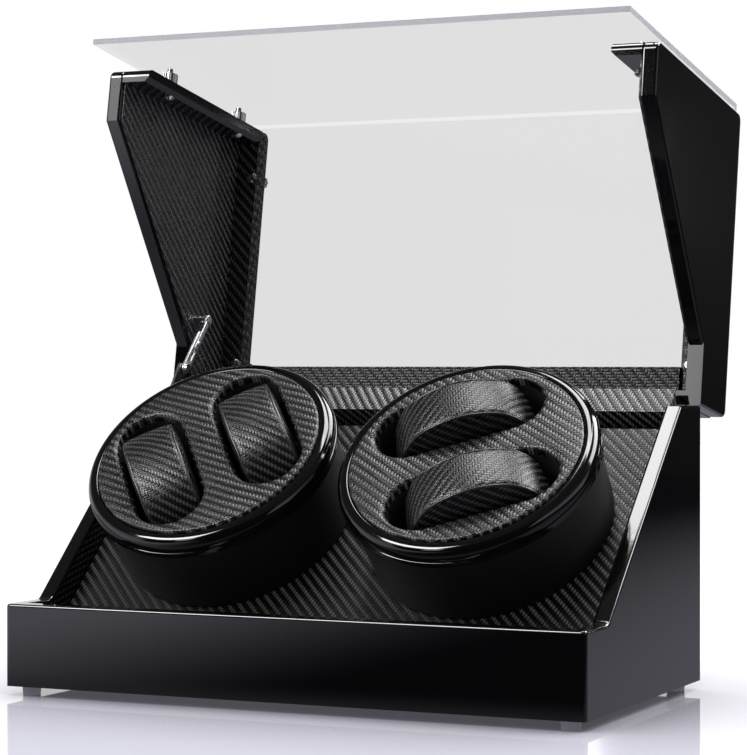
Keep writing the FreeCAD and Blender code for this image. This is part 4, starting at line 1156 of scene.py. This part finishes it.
studio = {
    "fill": 0.25,
    "ceiling": (0.12, 0.45, 1.0, 0.10),  # what gloss sees above the horizon
    "floorSize": 4.0,
    "floorTint": (0.87, 0.855, 1.0),
    "floorShine": 1.27,
    "floorGrey": (0.9, 0.9, 0.9),
    "shadowShare": 0.16,
    "frontPatch": (-0.42, -0.02, 1.25, 0.01),  # bright patches of the floor that gloss sees
    "rearPatch": (0.17, 0.75, 0.32, 0.01),
    "patchTurn": (-0.24, -0.12, 0.0, 1.0),
    "farFade": (0.35, 1.1, 0.0, 1.0),  # the floor turns plain white away from the box
    "contact": 0.16,  # reach of the soft shadow round the foot of the box
    "contactSamples": 8,
    "contactPower": 2.0,
    "mirror": 0.75,  # share of a polished floor's own reflection
    "mirrorTint": (1.3, 1.3, 1.3),
    "mirrorRoughness": 0.04,
    "mirrorIor": 1.45,
    "lamps": (  # name, place, aim, size, watts, seen in gloss
        ("overhead", (0.02, 0.18, 1.45), (0, -0.03, 0.1), (0.72, 0.52), 20.0, True),
        ("leftFront", (-0.82, -1.73, 0.87), (0, -0.05, 0.15), (0.75, 0.60), 4.0, False),
        ("rightBack", (1.00, 0.42, 1.16), (0, -0.05, 0.15), (0.45, 0.30), 6.0, False),
    ),
    "cards": (  # name, centre, size, axis of the fade, fade
        ("frontCard", (0.0, -2.6, 0.9), (6.0, 1.9), 0, (-2.9, -2.2, 1.0, 0.02)),
        ("rightCard", (2.3, 2.6, 1.0), (5.0, 2.1), 2, (0.0, 0.4, 0.015, 0.03)),
    ),
    "softboxes": (  # name, bearing from the front, height angle, distance, size, strength
        ("frontSoftbox", -34.5, 38.5, 2.2, (1.05, 0.68), 24.0),
        ("sideSoftbox", -19.0, 21.0, 2.2, (0.36, 0.50), 4.0),
        ("backSoftbox", 140.0, 45.0, 2.2, (2.20, 1.05), 12.0),
        ("chinSoftbox", -36.7, 26.7, 2.40, (0.14, 0.24), 3.5),
        ("liningSoftbox", 153.4, 7.8, 2.48, (0.20, 0.22), 5.0),
    ),
    "softboxMiddle": (0, 0, 0.1),
}


def makeWorld():
    world = bpy.data.worlds.new("studio")
    scene.world = world
    world.use_nodes = True
    tree = world.node_tree
    back = tree.nodes["Background"]
    back.inputs["Color"].default_value = (1, 1, 1, 1)
    spot = parted(tree, tree.nodes.new("ShaderNodeTexCoord").outputs["Generated"])
    path = tree.nodes.new("ShaderNodeLightPath").outputs
    seen = mixed(tree, path["Is Glossy Ray"], 1.0, smoothRange(tree, spot[2], *studio["ceiling"]))
    shown = calc(tree, "MAXIMUM", path["Is Camera Ray"], path["Is Glossy Ray"])
    shown = calc(tree, "MAXIMUM", shown, path["Is Transmission Ray"])
    wire(tree, mixed(tree, shown, studio["fill"], seen), back.inputs["Strength"])


def stagePiece(name, shell, finishName):
    mesh = meshFrom(shell, name)
    piece = bpy.data.objects.new(name, mesh)
    scene.collection.objects.link(piece)
    finish = bpy.data.materials.new(finishName)
    finish.use_nodes = True
    mesh.materials.append(finish)
    tree = finish.node_tree
    tree.nodes.clear()
    return piece, tree, tree.nodes.new("ShaderNodeOutputMaterial").inputs["Surface"]


def mixShader(tree, share, first, second):
    made = tree.nodes.new("ShaderNodeMixShader")
    for socket, source in zip(made.inputs, (share, first, second)):
        wire(tree, source, socket)
    return made.outputs[0]


def floorGlow(tree, path):  # plain light for the camera, patches for gloss, and the far fade
    across, depth = parted(tree, objectPlace(tree))[:2]
    front = smoothRange(tree, across, *studio["frontPatch"])
    rear = smoothRange(tree, across, *studio["rearPatch"])
    patch = mixed(tree, smoothRange(tree, depth, *studio["patchTurn"]), front, rear)
    shade = step(tree, "ShaderNodeAmbientOcclusion", Distance=studio["contact"])
    shade.samples = studio["contactSamples"]
    near = calc(tree, "POWER", shade.outputs["AO"], studio["contactPower"])
    near = calc(tree, "MULTIPLY", near, studio["floorShine"])
    level = mixed(tree, path["Is Camera Ray"], studio["floorShine"], near)
    squares = [calc(tree, "MULTIPLY", part, part) for part in (across, depth)]
    reach = calc(tree, "SQRT", calc(tree, "ADD", *squares))
    far = calc(tree, "MULTIPLY", path["Is Camera Ray"], smoothRange(tree, reach, *studio["farFade"]))
    strength = mixed(tree, path["Is Glossy Ray"], level, patch)
    tint = blendColour(tree, far, studio["floorTint"], (1.0, 1.0, 1.0))
    return step(tree, "ShaderNodeEmission", Strength=strength, Color=tint).outputs[0], far


def makeFloor():
    plane = bmesh.new()
    bmesh.ops.create_grid(plane, x_segments=1, y_segments=1, size=studio["floorSize"])
    floor, tree, leave = stagePiece("floor", plane, "paleFloor")
    path = tree.nodes.new("ShaderNodeLightPath").outputs
    glow, far = floorGlow(tree, path)
    flat = step(tree, "ShaderNodeBsdfDiffuse", Color=studio["floorGrey"])
    gloss = step(tree, "ShaderNodeBsdfGlossy", Color=studio["mirrorTint"], Roughness=studio["mirrorRoughness"])
    lit = calc(tree, "MAXIMUM", path["Is Glossy Ray"], 1 - studio["shadowShare"])
    low = mixShader(tree, lit, flat.outputs[0], glow)
    polish = step(tree, "ShaderNodeFresnel", IOR=studio["mirrorIor"])
    sheen = calc(tree, "MULTIPLY", polish.outputs[0], studio["mirror"])
    sheen = calc(tree, "MULTIPLY", sheen, calc(tree, "SUBTRACT", 1.0, far))
    sheen = calc(tree, "MULTIPLY", path["Is Camera Ray"], sheen)
    wire(tree, mixShader(tree, sheen, low, gloss.outputs[0]), leave)


def makeLamps():
    for name, place, aim, size, power, glossy in studio["lamps"]:
        lamp = bpy.data.lights.new(name, "AREA")
        lamp.shape = "RECTANGLE"
        lamp.size, lamp.size_y = size
        lamp.energy = power
        holder = bpy.data.objects.new(name, lamp)
        scene.collection.objects.link(holder)
        holder.location = place
        holder.rotation_euler = (Vector(aim) - Vector(place)).to_track_quat("-Z", "Y").to_euler()
        holder.visible_camera = False
        holder.visible_transmission = False
        holder.visible_glossy = glossy


def makeCard(name, centre, across, up, size, axis, fade):
    sheet = bmesh.new()
    corners = [centre + across * (side * size[0] / 2) + up * (level * size[1] / 2)
               for side, level in ((-1, -1), (1, -1), (1, 1), (-1, 1))]
    sheet.faces.new([sheet.verts.new(corner) for corner in corners])
    card, tree, leave = stagePiece(name, sheet, name)
    strength = smoothRange(tree, parted(tree, objectPlace(tree))[axis], *fade)
    wire(tree, step(tree, "ShaderNodeEmission", Strength=strength).outputs[0], leave)
    for ray in ("camera", "diffuse", "shadow", "transmission", "volume_scatter"):
        setattr(card, "visible_" + ray, False)


def makeCards():
    for name, centre, size, axis, fade in studio["cards"]:
        makeCard(name, Vector(centre), Vector((1, 0, 0)), Vector((0, 0, 1)), size, axis, fade)
    for name, bearing, rise, distance, size, strength in studio["softboxes"]:
        turn, lift = math.radians(bearing), math.radians(rise)
        toward = Vector((math.cos(lift) * math.sin(turn), -math.cos(lift) * math.cos(turn), math.sin(lift)))
        sideways = Vector((math.cos(turn), math.sin(turn), 0))
        centre = toward * distance + Vector(studio["softboxMiddle"])
        makeCard(name, centre, sideways, toward.cross(sideways), size, 0, (0.0, 1.0, strength, strength))


makeWorld()
makeFloor()
makeLamps()
makeCards()
print("studio set")
